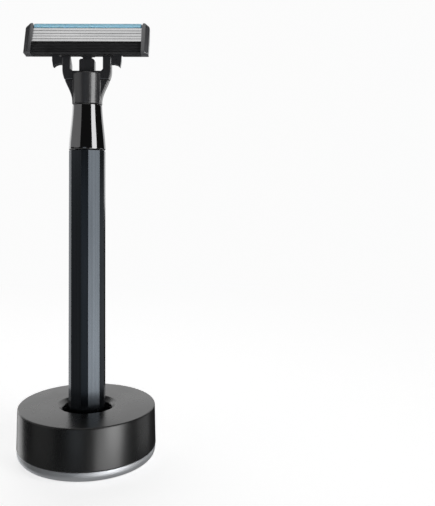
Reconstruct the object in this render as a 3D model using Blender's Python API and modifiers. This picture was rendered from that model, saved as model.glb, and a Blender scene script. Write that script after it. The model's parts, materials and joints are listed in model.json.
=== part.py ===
"""Cartridge razor standing in its round stand, built piece by piece.

Frame: metres, +Z up. The origin is the middle of the stand's underside, so the handle's axis is the
Z axis, and the blades face -Y. Each moving group hangs under an empty that sits on its joint.
"""

import math

import bmesh
import bpy
from mathutils import Matrix, Vector

MM = 0.001
CLEAR = 0.1 * MM          # between pieces that rest on each other
STEPS = 64                # segments of a full turn on the large round pieces
FINE_STEPS = 32           # and on the small ones

# Stand
STAND_HEIGHT = 17.15 * MM
STAND_TOP_RADIUS = 22.9 * MM
STAND_BASE_RADIUS = 23.3 * MM
STAND_WALL = 2.0 * MM
STAND_ROOF = 2.25 * MM
STAND_EDGE = 0.5 * MM
WELL_RADIUS = 8.1 * MM
WELL_LIP_RADIUS = 10.0 * MM
WELL_LIP_DEPTH = 1.3 * MM

PAD_RADIUS = 19.6 * MM
PAD_HEIGHT = 0.85 * MM
PLATE_RADIUS = 20.2 * MM
PLATE_BOTTOM = PAD_HEIGHT + CLEAR
PLATE_TOP = 2.95 * MM
RING_BOTTOM = 0.35 * MM
RING_TOP = 3.85 * MM
RING_INSET = 0.12 * MM
RING_TOP_EDGE = 0.15 * MM
WEB_EDGE = 0.35 * MM
WEB_SPARE = 0.6 * MM    # cut off both ends, so that they stay square where the sides are bevelled
WEB_INSET = 0.05 * MM
HEX_HALF = 1.4 * MM
HEX_DEPTH = 1.5 * MM
MAGNET_INSET = 0.15 * MM   # of the end magnet above the end cap's face
PAD_EDGE = 0.2 * MM
SCREW_POINT = 1.0 * MM
RING_BOTTOM_EDGE = 2.4 * MM
LEDGE_RADIUS = 17.5 * MM
SHELL_BOTTOM = RING_TOP + CLEAR

CUP_RADIUS = 9.6 * MM
CUP_BOTTOM = 4.7 * MM
CUP_FLOOR = 5.15 * MM
CUP_GUIDE_RADIUS = 6.62 * MM
CUP_GUIDE_TOP = 11.5 * MM
CUP_FUNNEL_TOP = 13.0 * MM
STAND_MAGNET_RADIUS = 5.0 * MM
WEIGHT_GAP = 0.3 * MM

SCREW_CIRCLE = 14.5 * MM
SCREW_COUNT = 3
SCREW_HEAD_RADIUS = 2.3 * MM
SCREW_HEAD_TOP = 2.0 * MM
SCREW_SHANK_RADIUS = 1.25 * MM
SCREW_TIP = 9.0 * MM
SCREW_PLAY = 0.15 * MM

# Handle
GRIP_BOTTOM = 8.0 * MM
GRIP_TOP = 102.55 * MM
GRIP_BOTTOM_RADIUS = 6.3 * MM
GRIP_TOP_RADIUS = 6.2 * MM
GRIP_BORE = 4.15 * MM
GRIP_WIDE_FLAT = 38.0     # degrees of the turn that a wide flat spans
END_CAP_BOTTOM = CUP_FLOOR + 0.05 * MM
END_CAP_CHAMFER = 0.6 * MM
INNER_RADIUS = GRIP_BORE - CLEAR
CAP_SPIGOT_TOP = 12.0 * MM
END_MAGNET_RADIUS = 2.95 * MM
END_MAGNET_TOP = 6.8 * MM
CORE_BOTTOM = 13.0 * MM
CORE_TOP = 84.0 * MM
CORE_CHAMFER = 0.6 * MM

INSERT_BOTTOM = 89.1 * MM
INSERT_SHOULDER = 93.0 * MM
INSERT_TOP = 102.3 * MM
SPIGOT_RADIUS = 3.0 * MM
SPIGOT_PLAY = 0.1 * MM
NECK_SCREW_BOTTOM = 86.0 * MM
NECK_SCREW_TOP = 103.0 * MM
NECK_SCREW_HEAD = 2.7 * MM
NECK_SCREW_SHANK = 1.4 * MM

COLLAR_BOTTOM = 102.75 * MM
COLLAR_TOP = 117.75 * MM
COLLAR_TOP_RADIUS = 4.96 * MM
COLLAR_BOTTOM_RADIUS = 6.16 * MM
COLLAR_EDGE = 0.2 * MM

# Neck and docking clip
NECK_BOTTOM = COLLAR_TOP + 2 * CLEAR
NECK_BOTTOM_RADIUS = 4.86 * MM
NECK_TOP = 128.3 * MM
NECK_TOP_RADIUS = 5.2 * MM
NECK_EDGE = 0.5 * MM
FLARE_START = 118.9 * MM
FLARE_HEIGHT = 10.4 * MM
FLARE_NARROW = 4.85 * MM
FLARE_WIDE = 8.15 * MM
WEB_HALF_DEPTH = 2.15 * MM
DOCK_FLOOR = 126.0 * MM
YOKE_FLOOR = 129.1 * MM
ARM_INNER = 5.35 * MM
ARM_TOP = 134.15 * MM
WINDOW_CHAMFER = 0.6 * MM
ARM_OVERHANG = 1.0 * MM   # how far the cutter for the arms' side shape passes the clip
ARM_BACK_Z = 130.36 * MM
ARM_PEAK_Z = 133.75 * MM
ARM_PEAK_FRONT = -1.5 * MM
WING_OUTER = 11.55 * MM
WING_TIP_X = 11.2 * MM
WING_TIP_Z = 130.2 * MM
WING_EDGE_Z = 131.3 * MM
WING_OVERLAP = 0.7 * MM   # of the wing into the arm
WING_BACK_Z = 132.6 * MM
WING_MIDDLE_Z = 133.5 * MM
WING_FRONT_Z = 133.9 * MM
WING_CURVE = ((9.3 * MM, 0.05 * MM), (10.3 * MM, 0.35 * MM))   # place along the edge, and its drop

# Cartridge face: a plane that leans back, with v running up it and t running in behind it
FACE_LEAN = math.radians(28.0)
FACE_FOOT_Y = -5.0 * MM
FACE_FOOT_Z = 133.97 * MM
UNDERSIDE_Z = 134.35 * MM
HOUSING_FRONT = 1.3 * MM
HOUSING_HALF = 20.4 * MM
HOUSING_DEEP = 5.4 * MM   # depth t of the underside's back edge
HOUSING_BACK = ((5.9 * MM, 5.6 * MM), (5.2 * MM, 9.6 * MM), (3.3 * MM, 12.2 * MM), (1.6 * MM, 13.2 * MM))
RIB_FRONT = 0.1 * MM
RIB_ROOT = 0.3 * MM
HEEL_LOW = (-2.3 * MM, 0.5 * MM, 134.34 * MM)
HEEL_HIGH = (2.3 * MM, 2.2 * MM, 136.5 * MM)
GUARD_TOP = 5.2 * MM
GUARD_FINS = 6
GUARD_FLOOR = 0.32 * MM   # depth t between the fins
FIN_CREST = -0.05 * MM
FIN_LOW = 1.0 * MM
GUARD_LIP = ((0.2 * MM, 0.8 * MM), (-0.1 * MM, 0.6 * MM), (-0.1 * MM, 0.25 * MM), (0.1 * MM, 0.05 * MM))
BLADE_COUNT = 5
BLADE_FIRST = 5.36 * MM
BLADE_PITCH = 1.17 * MM
BLADE_REACH = 1.06 * MM
BLADE_SINK = 0.12 * MM
BLADE_THICKNESS = 0.1 * MM
BLADE_GRIND = 0.25 * MM
SUPPORT_START = 0.35 * MM
SUPPORT_GAP = 0.03 * MM
BLADE_HALF = 18.4 * MM
SUPPORT_THICKNESS = 0.16 * MM
SUPPORT_DEPTH = 2.75 * MM
POCKET_LOW = 5.28 * MM
POCKET_HIGH = 11.12 * MM
POCKET_DEPTH = 3.0 * MM
RINSE_LOW = 6.0 * MM
RINSE_HIGH = 10.4 * MM
RINSE_HALF = 3.7 * MM
RINSE_MIDDLES = (-13.5 * MM, -4.5 * MM, 4.5 * MM, 13.5 * MM)
STRIP_LOW = 11.52 * MM
STRIP_HIGH = 13.4 * MM
TRIM_HALF = 18.1 * MM     # half length of the guard and of the strip
CAP_OUTER = 21.05 * MM
CAP_PROUD = 0.5 * MM
CAP_BACK = 4.4 * MM
CAP_DROP = 0.35 * MM      # of the caps below the housing's underside
CAP_TOP = 13.75 * MM
CAP_SHOULDER = 13.8 * MM
CAP_ROOM_FRONT = -0.06 * MM
CAP_ROOM_TOP = 13.35 * MM

# Pivot of the cartridge on the clip's pins
PIVOT_Y = -0.9 * MM
PIVOT_Z = 135.5 * MM
PIVOT_RANGE = math.radians(40.0)
PIN_RADIUS = 0.6 * MM
PIN_PLAY = 0.08 * MM
PIN_OUTER = 13.1 * MM
PIN_ROOT = 0.5 * MM       # of the pin inside its tab
TAB_RADIUS = 1.1 * MM
TAB_INNER = 9.25 * MM
TAB_BOTTOM_Z = 132.0 * MM
TAB_PLAY = 0.2 * MM

# Plunger, its spring and the release button
PLUNGER_HALF = 2.57 * MM
PLUNGER_HALF_DEPTH = 1.6 * MM
PLUNGER_BOTTOM = 124.3 * MM
PLUNGER_SHOULDER = 133.15 * MM
PLUNGER_TIP_HALF = 1.55 * MM
PLUNGER_TIP_BACK = 1.1 * MM
PLUNGER_TIP_FRONT = -0.7 * MM
POCKET_PLAY = 0.15 * MM
PLUNGER_POCKET_FLOOR = 119.2 * MM
SPRING_RADIUS = 1.1 * MM
SPRING_WIRE = 0.17 * MM
SPRING_TURNS = 5
SEAT_BOTTOM = 119.35 * MM
SEAT_TOP = 119.9 * MM
SEAT_HALF = 1.1 * MM
BUTTON_BACK = 6.2 * MM
BUTTON_FRONT = 5.3 * MM
BUTTON_HALF = 2.6 * MM
BUTTON_BOTTOM = 118.8 * MM
BUTTON_TOP = 125.2 * MM
BUTTON_TRAVEL = 1.2 * MM
BUTTON_CORNER = 0.8 * MM
SEAT_FRONT = -1.3 * MM
GROOVE_COUNT = 4
GROOVE_FIRST = 1.6 * MM
GROOVE_PITCH = 1.05 * MM
GROOVE_HALF = 0.25 * MM
GROOVE_DEPTH = 0.25 * MM
GROOVE_REACH = 2.0 * MM


# ---------------------------------------------------------------- scene and materials

def clear_scene():
    for item in list(bpy.data.objects):
        bpy.data.objects.remove(item, do_unlink=True)


def new_collection(name):
    collection = bpy.data.collections.new(name)
    bpy.context.scene.collection.children.link(collection)
    return collection


def make_material(name, colour, roughness, metallic=0.0):
    material = bpy.data.materials.new(name)
    material.use_nodes = True
    shader = material.node_tree.nodes["Principled BSDF"]
    shader.inputs["Base Color"].default_value = (*colour, 1.0)
    shader.inputs["Roughness"].default_value = roughness
    shader.inputs["Metallic"].default_value = metallic
    material.diffuse_color = (*colour, 1.0)
    return material


clear_scene()
PARTS = new_collection("cartridge_razor")
CUTTERS = new_collection("cutters")

MATERIALS = {
    "satin_black": ((0.025, 0.025, 0.027), 0.38, 0.3),
    "gunmetal": ((0.12, 0.135, 0.15), 0.34, 1.0),
    "black_chrome": ((0.03, 0.03, 0.032), 0.06, 0.9),
    "satin_silver": ((0.55, 0.56, 0.57), 0.3, 1.0),
    "steel": ((0.62, 0.63, 0.64), 0.3, 1.0),
    "blade_steel": ((0.75, 0.76, 0.78), 0.2, 1.0),
    "black_plastic": ((0.02, 0.02, 0.022), 0.42, 0.0),
    "cap_plastic": ((0.05, 0.05, 0.055), 0.4, 0.0),
    "black_rubber": ((0.018, 0.018, 0.02), 0.7, 0.0),
    "blue_strip": ((0.26, 0.50, 0.67), 0.45, 0.0),
}


def use_material(item, name):
    """Gives an object its own material, made from the finish of that name."""
    colour, roughness, metallic = MATERIALS[name]
    item.data.materials.clear()
    item.data.materials.append(make_material(item.name + "_" + name, colour, roughness, metallic))


# ---------------------------------------------------------------- shape helpers

def ease(t):
    """Smooth step from 0 to 1 with level ends."""
    t = min(max(t, 0.0), 1.0)
    return t * t * (3.0 - 2.0 * t)


def arc(centre, radii, start, end, count):
    """Points of an elliptic arc in a plane, angles in degrees."""
    points = []
    for index in range(count + 1):
        angle = math.radians(start + (end - start) * index / count)
        points.append((centre[0] + radii[0] * math.cos(angle), centre[1] + radii[1] * math.sin(angle)))
    return points


def mirrored(points):
    """A right half outline, listed from bottom to top, closed with its mirror image."""
    return list(points) + [(-x, z) for x, z in reversed(points)]


def rounded(corners, segments=3):
    """Outline from (x, z, radius) corners, each rounded with that radius."""
    outline = []
    for index, (x, z, radius) in enumerate(corners):
        here = Vector((x, z))
        if radius <= 0:
            outline.append((x, z))
            continue
        before = Vector(corners[index - 1][:2]) - here
        after = Vector(corners[(index + 1) % len(corners)][:2]) - here
        half = before.angle(after) / 2
        reach = radius / math.tan(half)
        middle = here + (before.normalized() + after.normalized()).normalized() * radius / math.sin(half)
        first = here + before.normalized() * reach - middle
        last = here + after.normalized() * reach - middle
        turn = first.angle_signed(last)
        for step in range(segments + 1):
            angle = -turn * step / segments
            spin_x = first.x * math.cos(angle) - first.y * math.sin(angle)
            spin_z = first.x * math.sin(angle) + first.y * math.cos(angle)
            outline.append((middle.x + spin_x, middle.y + spin_z))
    return outline


def add_object(name, mesh, collection=None):
    item = bpy.data.objects.new(name, mesh)
    (collection or PARTS).objects.link(item)
    return item


def smooth(item, angle=35.0):
    item.data.shade_smooth()
    item.data.set_sharp_from_angle(angle=math.radians(angle))


def turned(name, profile, material, closed=False, steps=STEPS, centre=(0.0, 0.0)):
    """Solid of revolution. The profile of (radius, height) runs down its outer side."""
    mesh = bpy.data.meshes.new(name)
    count = len(profile)
    edges = [(index, index + 1) for index in range(count - 1)]
    if closed:
        edges.append((count - 1, 0))
    mesh.from_pydata([(radius, 0.0, height) for radius, height in profile], edges, [])
    item = add_object(name, mesh)
    item.location = (*centre, 0.0)
    screw = item.modifiers.new("turn", "SCREW")
    screw.steps = steps
    screw.render_steps = steps
    screw.use_merge_vertices = True
    screw.merge_threshold = 0.00001
    screw.use_smooth_shade = True
    use_material(item, material)
    return item


def outline_solid(name, outline, low, high, across, material=None):
    """Flat outline made solid between two places along the axis that it lies across.

    across "X" takes (y, z) points, across "Y" takes (x, z) points, across "Z" takes (x, y) points.
    """
    curve = bpy.data.curves.new(name, "CURVE")
    curve.dimensions = "2D"
    curve.fill_mode = "BOTH"
    curve.extrude = (high - low) / 2
    spline = curve.splines.new("POLY")
    spline.points.add(len(outline) - 1)
    for point, (first, second) in zip(spline.points, outline):
        point.co = (first, second, 0.0, 1.0)
    spline.use_cyclic_u = True
    flat = add_object(name + "_curve", curve)
    middle = (high + low) / 2
    if across == "X":
        flat.location = (middle, 0.0, 0.0)
        flat.rotation_euler = (math.pi / 2, 0.0, math.pi / 2)
    elif across == "Y":
        flat.location = (0.0, middle, 0.0)
        flat.rotation_euler = (math.pi / 2, 0.0, 0.0)
    else:
        flat.location = (0.0, 0.0, middle)
    bpy.context.view_layer.update()
    solid = flat.evaluated_get(bpy.context.evaluated_depsgraph_get())
    mesh = bpy.data.meshes.new_from_object(solid)
    mesh.transform(flat.matrix_world)
    work = bmesh.new()
    work.from_mesh(mesh)
    bmesh.ops.remove_doubles(work, verts=work.verts, dist=0.000001)
    bmesh.ops.recalc_face_normals(work, faces=work.faces)
    work.to_mesh(mesh)
    work.free()
    bpy.data.objects.remove(flat, do_unlink=True)
    mesh.name = name
    item = add_object(name, mesh, PARTS if material else CUTTERS)
    if material:
        use_material(item, material)
    return item


def block(name, low, high, material=None):
    """Box between two corners."""
    work = bmesh.new()
    bmesh.ops.create_cube(work, size=1.0)
    size = [b - a for a, b in zip(low, high)]
    bmesh.ops.scale(work, vec=size, verts=work.verts)
    bmesh.ops.translate(work, vec=[(a + b) / 2 for a, b in zip(low, high)], verts=work.verts)
    mesh = bpy.data.meshes.new(name)
    work.to_mesh(mesh)
    work.free()
    item = add_object(name, mesh, PARTS if material else CUTTERS)
    if material:
        use_material(item, material)
    return item


def rod(name, radius, low, high, centre=(0.0, 0.0), material=None, segments=FINE_STEPS):
    """Upright cylinder between two heights."""
    work = bmesh.new()
    bmesh.ops.create_cone(work, cap_ends=True, segments=segments, radius1=radius, radius2=radius,
                          depth=high - low)
    bmesh.ops.translate(work, vec=(centre[0], centre[1], (low + high) / 2), verts=work.verts)
    mesh = bpy.data.meshes.new(name)
    work.to_mesh(mesh)
    work.free()
    item = add_object(name, mesh, PARTS if material else CUTTERS)
    if material:
        use_material(item, material)
        smooth(item)
    return item


def bevel(item, width, segments=2, angle=40.0):
    edge = item.modifiers.new("edges", "BEVEL")
    edge.width = width
    edge.segments = segments
    edge.limit_method = "ANGLE"
    edge.angle_limit = math.radians(angle)
    edge.use_clamp_overlap = True
    return edge


def combine(item, tool, operation):
    """Boolean of an object with a tool, which moves to the cutters' collection."""
    change = item.modifiers.new(tool.name, "BOOLEAN")
    change.object = tool
    change.operation = operation
    change.solver = "EXACT"
    if PARTS in tool.users_collection:
        PARTS.objects.unlink(tool)
        CUTTERS.objects.link(tool)
    tool.hide_render = True
    tool.display_type = "WIRE"


def cut(item, *tools):
    for tool in tools:
        combine(item, tool, "DIFFERENCE")


def join(item, *tools):
    for tool in tools:
        combine(item, tool, "UNION")


def keep_inside(item, *tools):
    for tool in tools:
        combine(item, tool, "INTERSECT")


# ---------------------------------------------------------------- stand

def stand_radius(height):
    """The stand widens slightly from its top to its base."""
    share = (STAND_HEIGHT - height) / STAND_HEIGHT
    return STAND_TOP_RADIUS + (STAND_BASE_RADIUS - STAND_TOP_RADIUS) * share


def make_stand_shell():
    edge_centre = (STAND_TOP_RADIUS - STAND_EDGE, STAND_HEIGHT - STAND_EDGE)
    ceiling = STAND_HEIGHT - STAND_ROOF
    inner = STAND_TOP_RADIUS - STAND_WALL
    lip_centre = (WELL_LIP_RADIUS, STAND_HEIGHT - WELL_LIP_DEPTH)
    lip_radii = (WELL_LIP_RADIUS - WELL_RADIUS, WELL_LIP_DEPTH)
    profile = arc(edge_centre, (STAND_EDGE, STAND_EDGE), 90.0, 0.0, 4)
    profile += [(stand_radius(SHELL_BOTTOM), SHELL_BOTTOM), (inner, SHELL_BOTTOM), (inner, ceiling)]
    profile += [(WELL_RADIUS, ceiling)]
    profile += arc(lip_centre, lip_radii, 180.0, 90.0, 6)
    return turned("stand_shell", profile, "satin_black", closed=True, steps=96)


def make_socket_cup():
    top = STAND_HEIGHT - STAND_ROOF - CLEAR
    profile = [(0.0, CUP_FLOOR), (CUP_GUIDE_RADIUS, CUP_FLOOR), (CUP_GUIDE_RADIUS, CUP_GUIDE_TOP)]
    profile += [(WELL_RADIUS, CUP_FUNNEL_TOP), (WELL_RADIUS, top), (CUP_RADIUS, top)]
    profile += [(CUP_RADIUS, CUP_BOTTOM), (0.0, CUP_BOTTOM)]
    return turned("socket_cup", profile, "black_plastic")


def screw_places():
    for index in range(SCREW_COUNT):
        angle = math.radians(90.0 + 360.0 * index / SCREW_COUNT)
        yield index + 1, (SCREW_CIRCLE * math.cos(angle), SCREW_CIRCLE * math.sin(angle))


def make_stand_weight():
    top = STAND_HEIGHT - STAND_ROOF - CLEAR
    inner = CUP_RADIUS + WEIGHT_GAP
    outer = STAND_TOP_RADIUS - STAND_WALL - WEIGHT_GAP
    profile = [(outer, top), (outer, SHELL_BOTTOM), (inner, SHELL_BOTTOM), (inner, top)]
    weight = turned("stand_weight", profile, "steel", closed=True)
    for index, place in screw_places():
        hole = rod(f"weight_hole_{index}", SCREW_SHANK_RADIUS + SCREW_PLAY, 0.0, SCREW_TIP + 0.5 * MM, place)
        cut(weight, hole)
    return weight


def make_foot_ring():
    outer = stand_radius(RING_TOP) - RING_INSET
    inner = PLATE_RADIUS + CLEAR
    edge = RING_BOTTOM_EDGE
    profile = [(outer - RING_TOP_EDGE, RING_TOP), (outer, RING_TOP - RING_TOP_EDGE)]
    profile += arc((outer - edge, RING_BOTTOM + edge), (edge, edge), 0.0, -90.0, 8)
    profile += [(inner, RING_BOTTOM), (inner, PLATE_TOP + CLEAR), (LEDGE_RADIUS, PLATE_TOP + CLEAR)]
    profile += [(LEDGE_RADIUS, RING_TOP)]
    return turned("foot_ring", profile, "satin_silver", closed=True, steps=96)


def make_base_plate():
    profile = [(0.0, PLATE_TOP), (PLATE_RADIUS, PLATE_TOP)]
    profile += [(PLATE_RADIUS, PLATE_BOTTOM), (0.0, PLATE_BOTTOM)]
    plate = turned("base_plate", profile, "black_plastic")
    for index, place in screw_places():
        hole = rod(f"plate_hole_{index}", SCREW_SHANK_RADIUS + SCREW_PLAY, 0.0, 2 * PLATE_TOP, place)
        sink = rod(f"plate_sink_{index}", SCREW_HEAD_RADIUS + SCREW_PLAY, 0.0, SCREW_HEAD_TOP + CLEAR, place)
        cut(plate, hole, sink)
    return plate


def make_base_screws():
    screws = []
    for index, place in screw_places():
        profile = [(0.0, SCREW_TIP), (SCREW_SHANK_RADIUS * 0.5, SCREW_TIP)]
        profile += [(SCREW_SHANK_RADIUS, SCREW_TIP - SCREW_POINT), (SCREW_SHANK_RADIUS, SCREW_HEAD_TOP)]
        profile += [(SCREW_HEAD_RADIUS, SCREW_HEAD_TOP), (SCREW_HEAD_RADIUS, PLATE_BOTTOM + CLEAR)]
        profile += [(0.0, PLATE_BOTTOM + CLEAR)]
        screws.append(turned(f"base_screw_{index}", profile, "steel", steps=24, centre=place))
    return screws


def make_base_pad():
    profile = [(0.0, PAD_HEIGHT), (PAD_RADIUS, PAD_HEIGHT), (PAD_RADIUS, PAD_EDGE)]
    profile += [(PAD_RADIUS - PAD_EDGE, 0.0), (0.0, 0.0)]
    return turned("base_pad", profile, "black_rubber")


def make_stand_magnet():
    low = PLATE_TOP + CLEAR
    high = CUP_BOTTOM - CLEAR
    return rod("stand_magnet", STAND_MAGNET_RADIUS, low, high, material="steel")


def make_stand():
    make_stand_shell()
    make_socket_cup()
    make_stand_weight()
    make_foot_ring()
    make_base_plate()
    make_base_screws()
    make_base_pad()
    make_stand_magnet()


# ---------------------------------------------------------------- handle

def faceted_outline(radius):
    """Six wide flats with six narrow ones across the corners, a narrow one facing the front."""
    half = GRIP_WIDE_FLAT / 2
    points = []
    for index in range(6):
        for offset in (-half, half):
            angle = math.radians(60.0 * index + offset)
            points.append((radius * math.cos(angle), radius * math.sin(angle)))
    return points


def faceted_prism(name, sections, material):
    """Prism on the handle's outline, through (height, radius) sections from the bottom up."""
    work = bmesh.new()
    rows = []
    for height, radius in sections:
        rows.append([work.verts.new((x, y, height)) for x, y in faceted_outline(radius)])
    for low, high in zip(rows, rows[1:]):
        for index in range(len(low)):
            work.faces.new((low[index - 1], low[index], high[index], high[index - 1]))
    work.faces.new(list(reversed(rows[0])))
    work.faces.new(rows[-1])
    bmesh.ops.recalc_face_normals(work, faces=work.faces)
    mesh = bpy.data.meshes.new(name)
    work.to_mesh(mesh)
    work.free()
    item = add_object(name, mesh)
    use_material(item, material)
    return item


def make_grip():
    sections = [(GRIP_BOTTOM, GRIP_BOTTOM_RADIUS), (GRIP_TOP, GRIP_TOP_RADIUS)]
    grip = faceted_prism("grip", sections, "gunmetal")
    cut(grip, rod("grip_bore", GRIP_BORE, 0.0, 2 * GRIP_TOP))
    return grip


def make_end_cap():
    chamfer_top = END_CAP_BOTTOM + END_CAP_CHAMFER
    sections = [(END_CAP_BOTTOM, GRIP_BOTTOM_RADIUS - END_CAP_CHAMFER)]
    sections += [(chamfer_top, GRIP_BOTTOM_RADIUS), (GRIP_BOTTOM - CLEAR, GRIP_BOTTOM_RADIUS)]
    cap = faceted_prism("end_cap", sections, "black_plastic")
    join(cap, rod("cap_spigot", INNER_RADIUS, chamfer_top, CAP_SPIGOT_TOP))
    cut(cap, rod("magnet_pocket", END_MAGNET_RADIUS + CLEAR, 0.0, END_MAGNET_TOP + CLEAR))
    return cap


def make_end_magnet():
    low = END_CAP_BOTTOM + MAGNET_INSET
    return rod("end_magnet", END_MAGNET_RADIUS, low, END_MAGNET_TOP, material="steel")


def make_core_rod():
    edge = CORE_CHAMFER
    profile = [(0.0, CORE_TOP), (INNER_RADIUS - edge, CORE_TOP), (INNER_RADIUS, CORE_TOP - edge)]
    profile += [(INNER_RADIUS, CORE_BOTTOM + edge), (INNER_RADIUS - edge, CORE_BOTTOM), (0.0, CORE_BOTTOM)]
    return turned("core_rod", profile, "steel", steps=FINE_STEPS)


def make_grip_insert():
    wide = SPIGOT_RADIUS + SPIGOT_PLAY
    narrow = NECK_SCREW_SHANK + SPIGOT_PLAY
    profile = [(INNER_RADIUS, INSERT_TOP), (INNER_RADIUS, INSERT_BOTTOM), (narrow, INSERT_BOTTOM)]
    profile += [(narrow, INSERT_SHOULDER), (wide, INSERT_SHOULDER), (wide, INSERT_TOP)]
    return turned("grip_insert", profile, "steel", closed=True, steps=FINE_STEPS)


def make_neck_screw():
    head_top = INSERT_BOTTOM - CLEAR
    socket_top = NECK_SCREW_BOTTOM + HEX_DEPTH
    profile = [(0.0, NECK_SCREW_TOP), (NECK_SCREW_SHANK * 0.7, NECK_SCREW_TOP)]
    profile += [(NECK_SCREW_SHANK, NECK_SCREW_TOP - 0.6 * MM), (NECK_SCREW_SHANK, head_top)]
    profile += [(NECK_SCREW_HEAD, head_top), (NECK_SCREW_HEAD, NECK_SCREW_BOTTOM), (0.0, NECK_SCREW_BOTTOM)]
    screw = turned("neck_screw", profile, "steel", steps=24)
    cut(screw, rod("hex_socket", HEX_HALF, NECK_SCREW_BOTTOM - 1.0 * MM, socket_top, segments=6))
    return screw


def collar_radius(share):
    """Radius at a share of the collar's height below its top: a straight taper with eased ends."""
    blend = 0.35 * share + 0.65 * ease(share)
    return COLLAR_TOP_RADIUS + (COLLAR_BOTTOM_RADIUS - COLLAR_TOP_RADIUS) * blend


def make_collar():
    bore = SPIGOT_RADIUS + SPIGOT_PLAY
    count = 14
    side = []
    for index in range(count + 1):
        share = index / count
        height = COLLAR_TOP - COLLAR_EDGE - (COLLAR_TOP - COLLAR_BOTTOM - 2 * COLLAR_EDGE) * share
        side.append((collar_radius(share), height))
    profile = [(COLLAR_TOP_RADIUS - COLLAR_EDGE, COLLAR_TOP)] + side
    profile += [(COLLAR_BOTTOM_RADIUS - COLLAR_EDGE, COLLAR_BOTTOM)]
    profile += [(bore, COLLAR_BOTTOM), (bore, COLLAR_TOP)]
    return turned("collar", profile, "black_chrome", closed=True)


# ---------------------------------------------------------------- neck

def flare(height):
    """Half width of the neck's web and of the yoke at a height."""
    return FLARE_NARROW + (FLARE_WIDE - FLARE_NARROW) * ease((height - FLARE_START) / FLARE_HEIGHT)


def flare_points(low, high, count):
    heights = [low + (high - low) * index / count for index in range(count + 1)]
    return [(flare(height), height) for height in heights]


def make_neck():
    spigot_bottom = INSERT_SHOULDER + 2 * CLEAR
    centre = (NECK_TOP_RADIUS - NECK_EDGE, NECK_TOP - NECK_EDGE)
    profile = [(0.0, NECK_TOP)] + arc(centre, (NECK_EDGE, NECK_EDGE), 90.0, 0.0, 4)
    profile += [(NECK_BOTTOM_RADIUS, NECK_BOTTOM + 0.1 * MM), (NECK_BOTTOM_RADIUS - 0.1 * MM, NECK_BOTTOM)]
    profile += [(SPIGOT_RADIUS, NECK_BOTTOM), (SPIGOT_RADIUS, spigot_bottom), (0.0, spigot_bottom)]
    neck = turned("neck", profile, "black_plastic", steps=48)
    wide = 10.0 * MM   # past the neck on every side
    flanks = mirrored(flare_points(NECK_BOTTOM - WEB_SPARE, DOCK_FLOOR + WEB_SPARE, 10))
    web = outline_solid("neck_web", flanks, -WEB_HALF_DEPTH, WEB_HALF_DEPTH, "Y")
    bevel(web, WEB_EDGE, angle=60.0)
    span = block("web_span", (-wide, -wide, NECK_BOTTOM + WEB_INSET), (wide, wide, DOCK_FLOOR - WEB_INSET))
    keep_inside(web, span)
    join(neck, web)
    play = POCKET_PLAY
    slot_half = WEB_HALF_DEPTH + CLEAR
    slot = block("dock_slot", (-wide, -slot_half, DOCK_FLOOR), (wide, slot_half, NECK_TOP + wide))
    pocket = block("plunger_pocket",
                   (-PLUNGER_HALF - play, -PLUNGER_HALF_DEPTH - play, PLUNGER_POCKET_FLOOR),
                   (PLUNGER_HALF + play, PLUNGER_HALF_DEPTH + play, DOCK_FLOOR + 1.0 * MM))
    track = block("button_track",
                  (-SEAT_HALF - play, 0.0, PLUNGER_POCKET_FLOOR),
                  (SEAT_HALF + play, wide, SEAT_TOP + BUTTON_TRAVEL + play))
    thread = rod("neck_thread", NECK_SCREW_SHANK + SPIGOT_PLAY, 0.0, NECK_SCREW_TOP + 1.0 * MM)
    cut(neck, slot, pocket, track, thread)
    return neck


# ---------------------------------------------------------------- plunger, spring, button

def make_plunger():
    chamfer = 0.45 * MM
    half = [(PLUNGER_HALF, PLUNGER_BOTTOM), (PLUNGER_HALF, PLUNGER_SHOULDER - chamfer)]
    half += [(PLUNGER_HALF - chamfer, PLUNGER_SHOULDER)]
    plunger = outline_solid("plunger", mirrored(half), -PLUNGER_HALF_DEPTH, PLUNGER_HALF_DEPTH, "Y",
                            "black_plastic")
    tip_top = UNDERSIDE_Z - CLEAR
    tip = block("plunger_tip", (-PLUNGER_TIP_HALF, PLUNGER_TIP_FRONT, PLUNGER_SHOULDER - 1.0 * MM),
                (PLUNGER_TIP_HALF, PLUNGER_TIP_BACK, tip_top))
    join(plunger, tip)
    return plunger


def make_plunger_spring():
    low = SEAT_TOP + CLEAR + SPRING_WIRE
    high = PLUNGER_BOTTOM - CLEAR - SPRING_WIRE
    per_turn = 12
    count = SPRING_TURNS * per_turn
    curve = bpy.data.curves.new("plunger_spring", "CURVE")
    curve.dimensions = "3D"
    curve.bevel_depth = SPRING_WIRE
    curve.bevel_resolution = 2
    curve.use_fill_caps = True
    spline = curve.splines.new("POLY")
    spline.points.add(count)
    for index, point in enumerate(spline.points):
        angle = 2 * math.pi * index / per_turn
        height = low + (high - low) * index / count
        point.co = (SPRING_RADIUS * math.cos(angle), SPRING_RADIUS * math.sin(angle), height, 1.0)
    spring = add_object("plunger_spring", curve)
    use_material(spring, "steel")
    return spring


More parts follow.
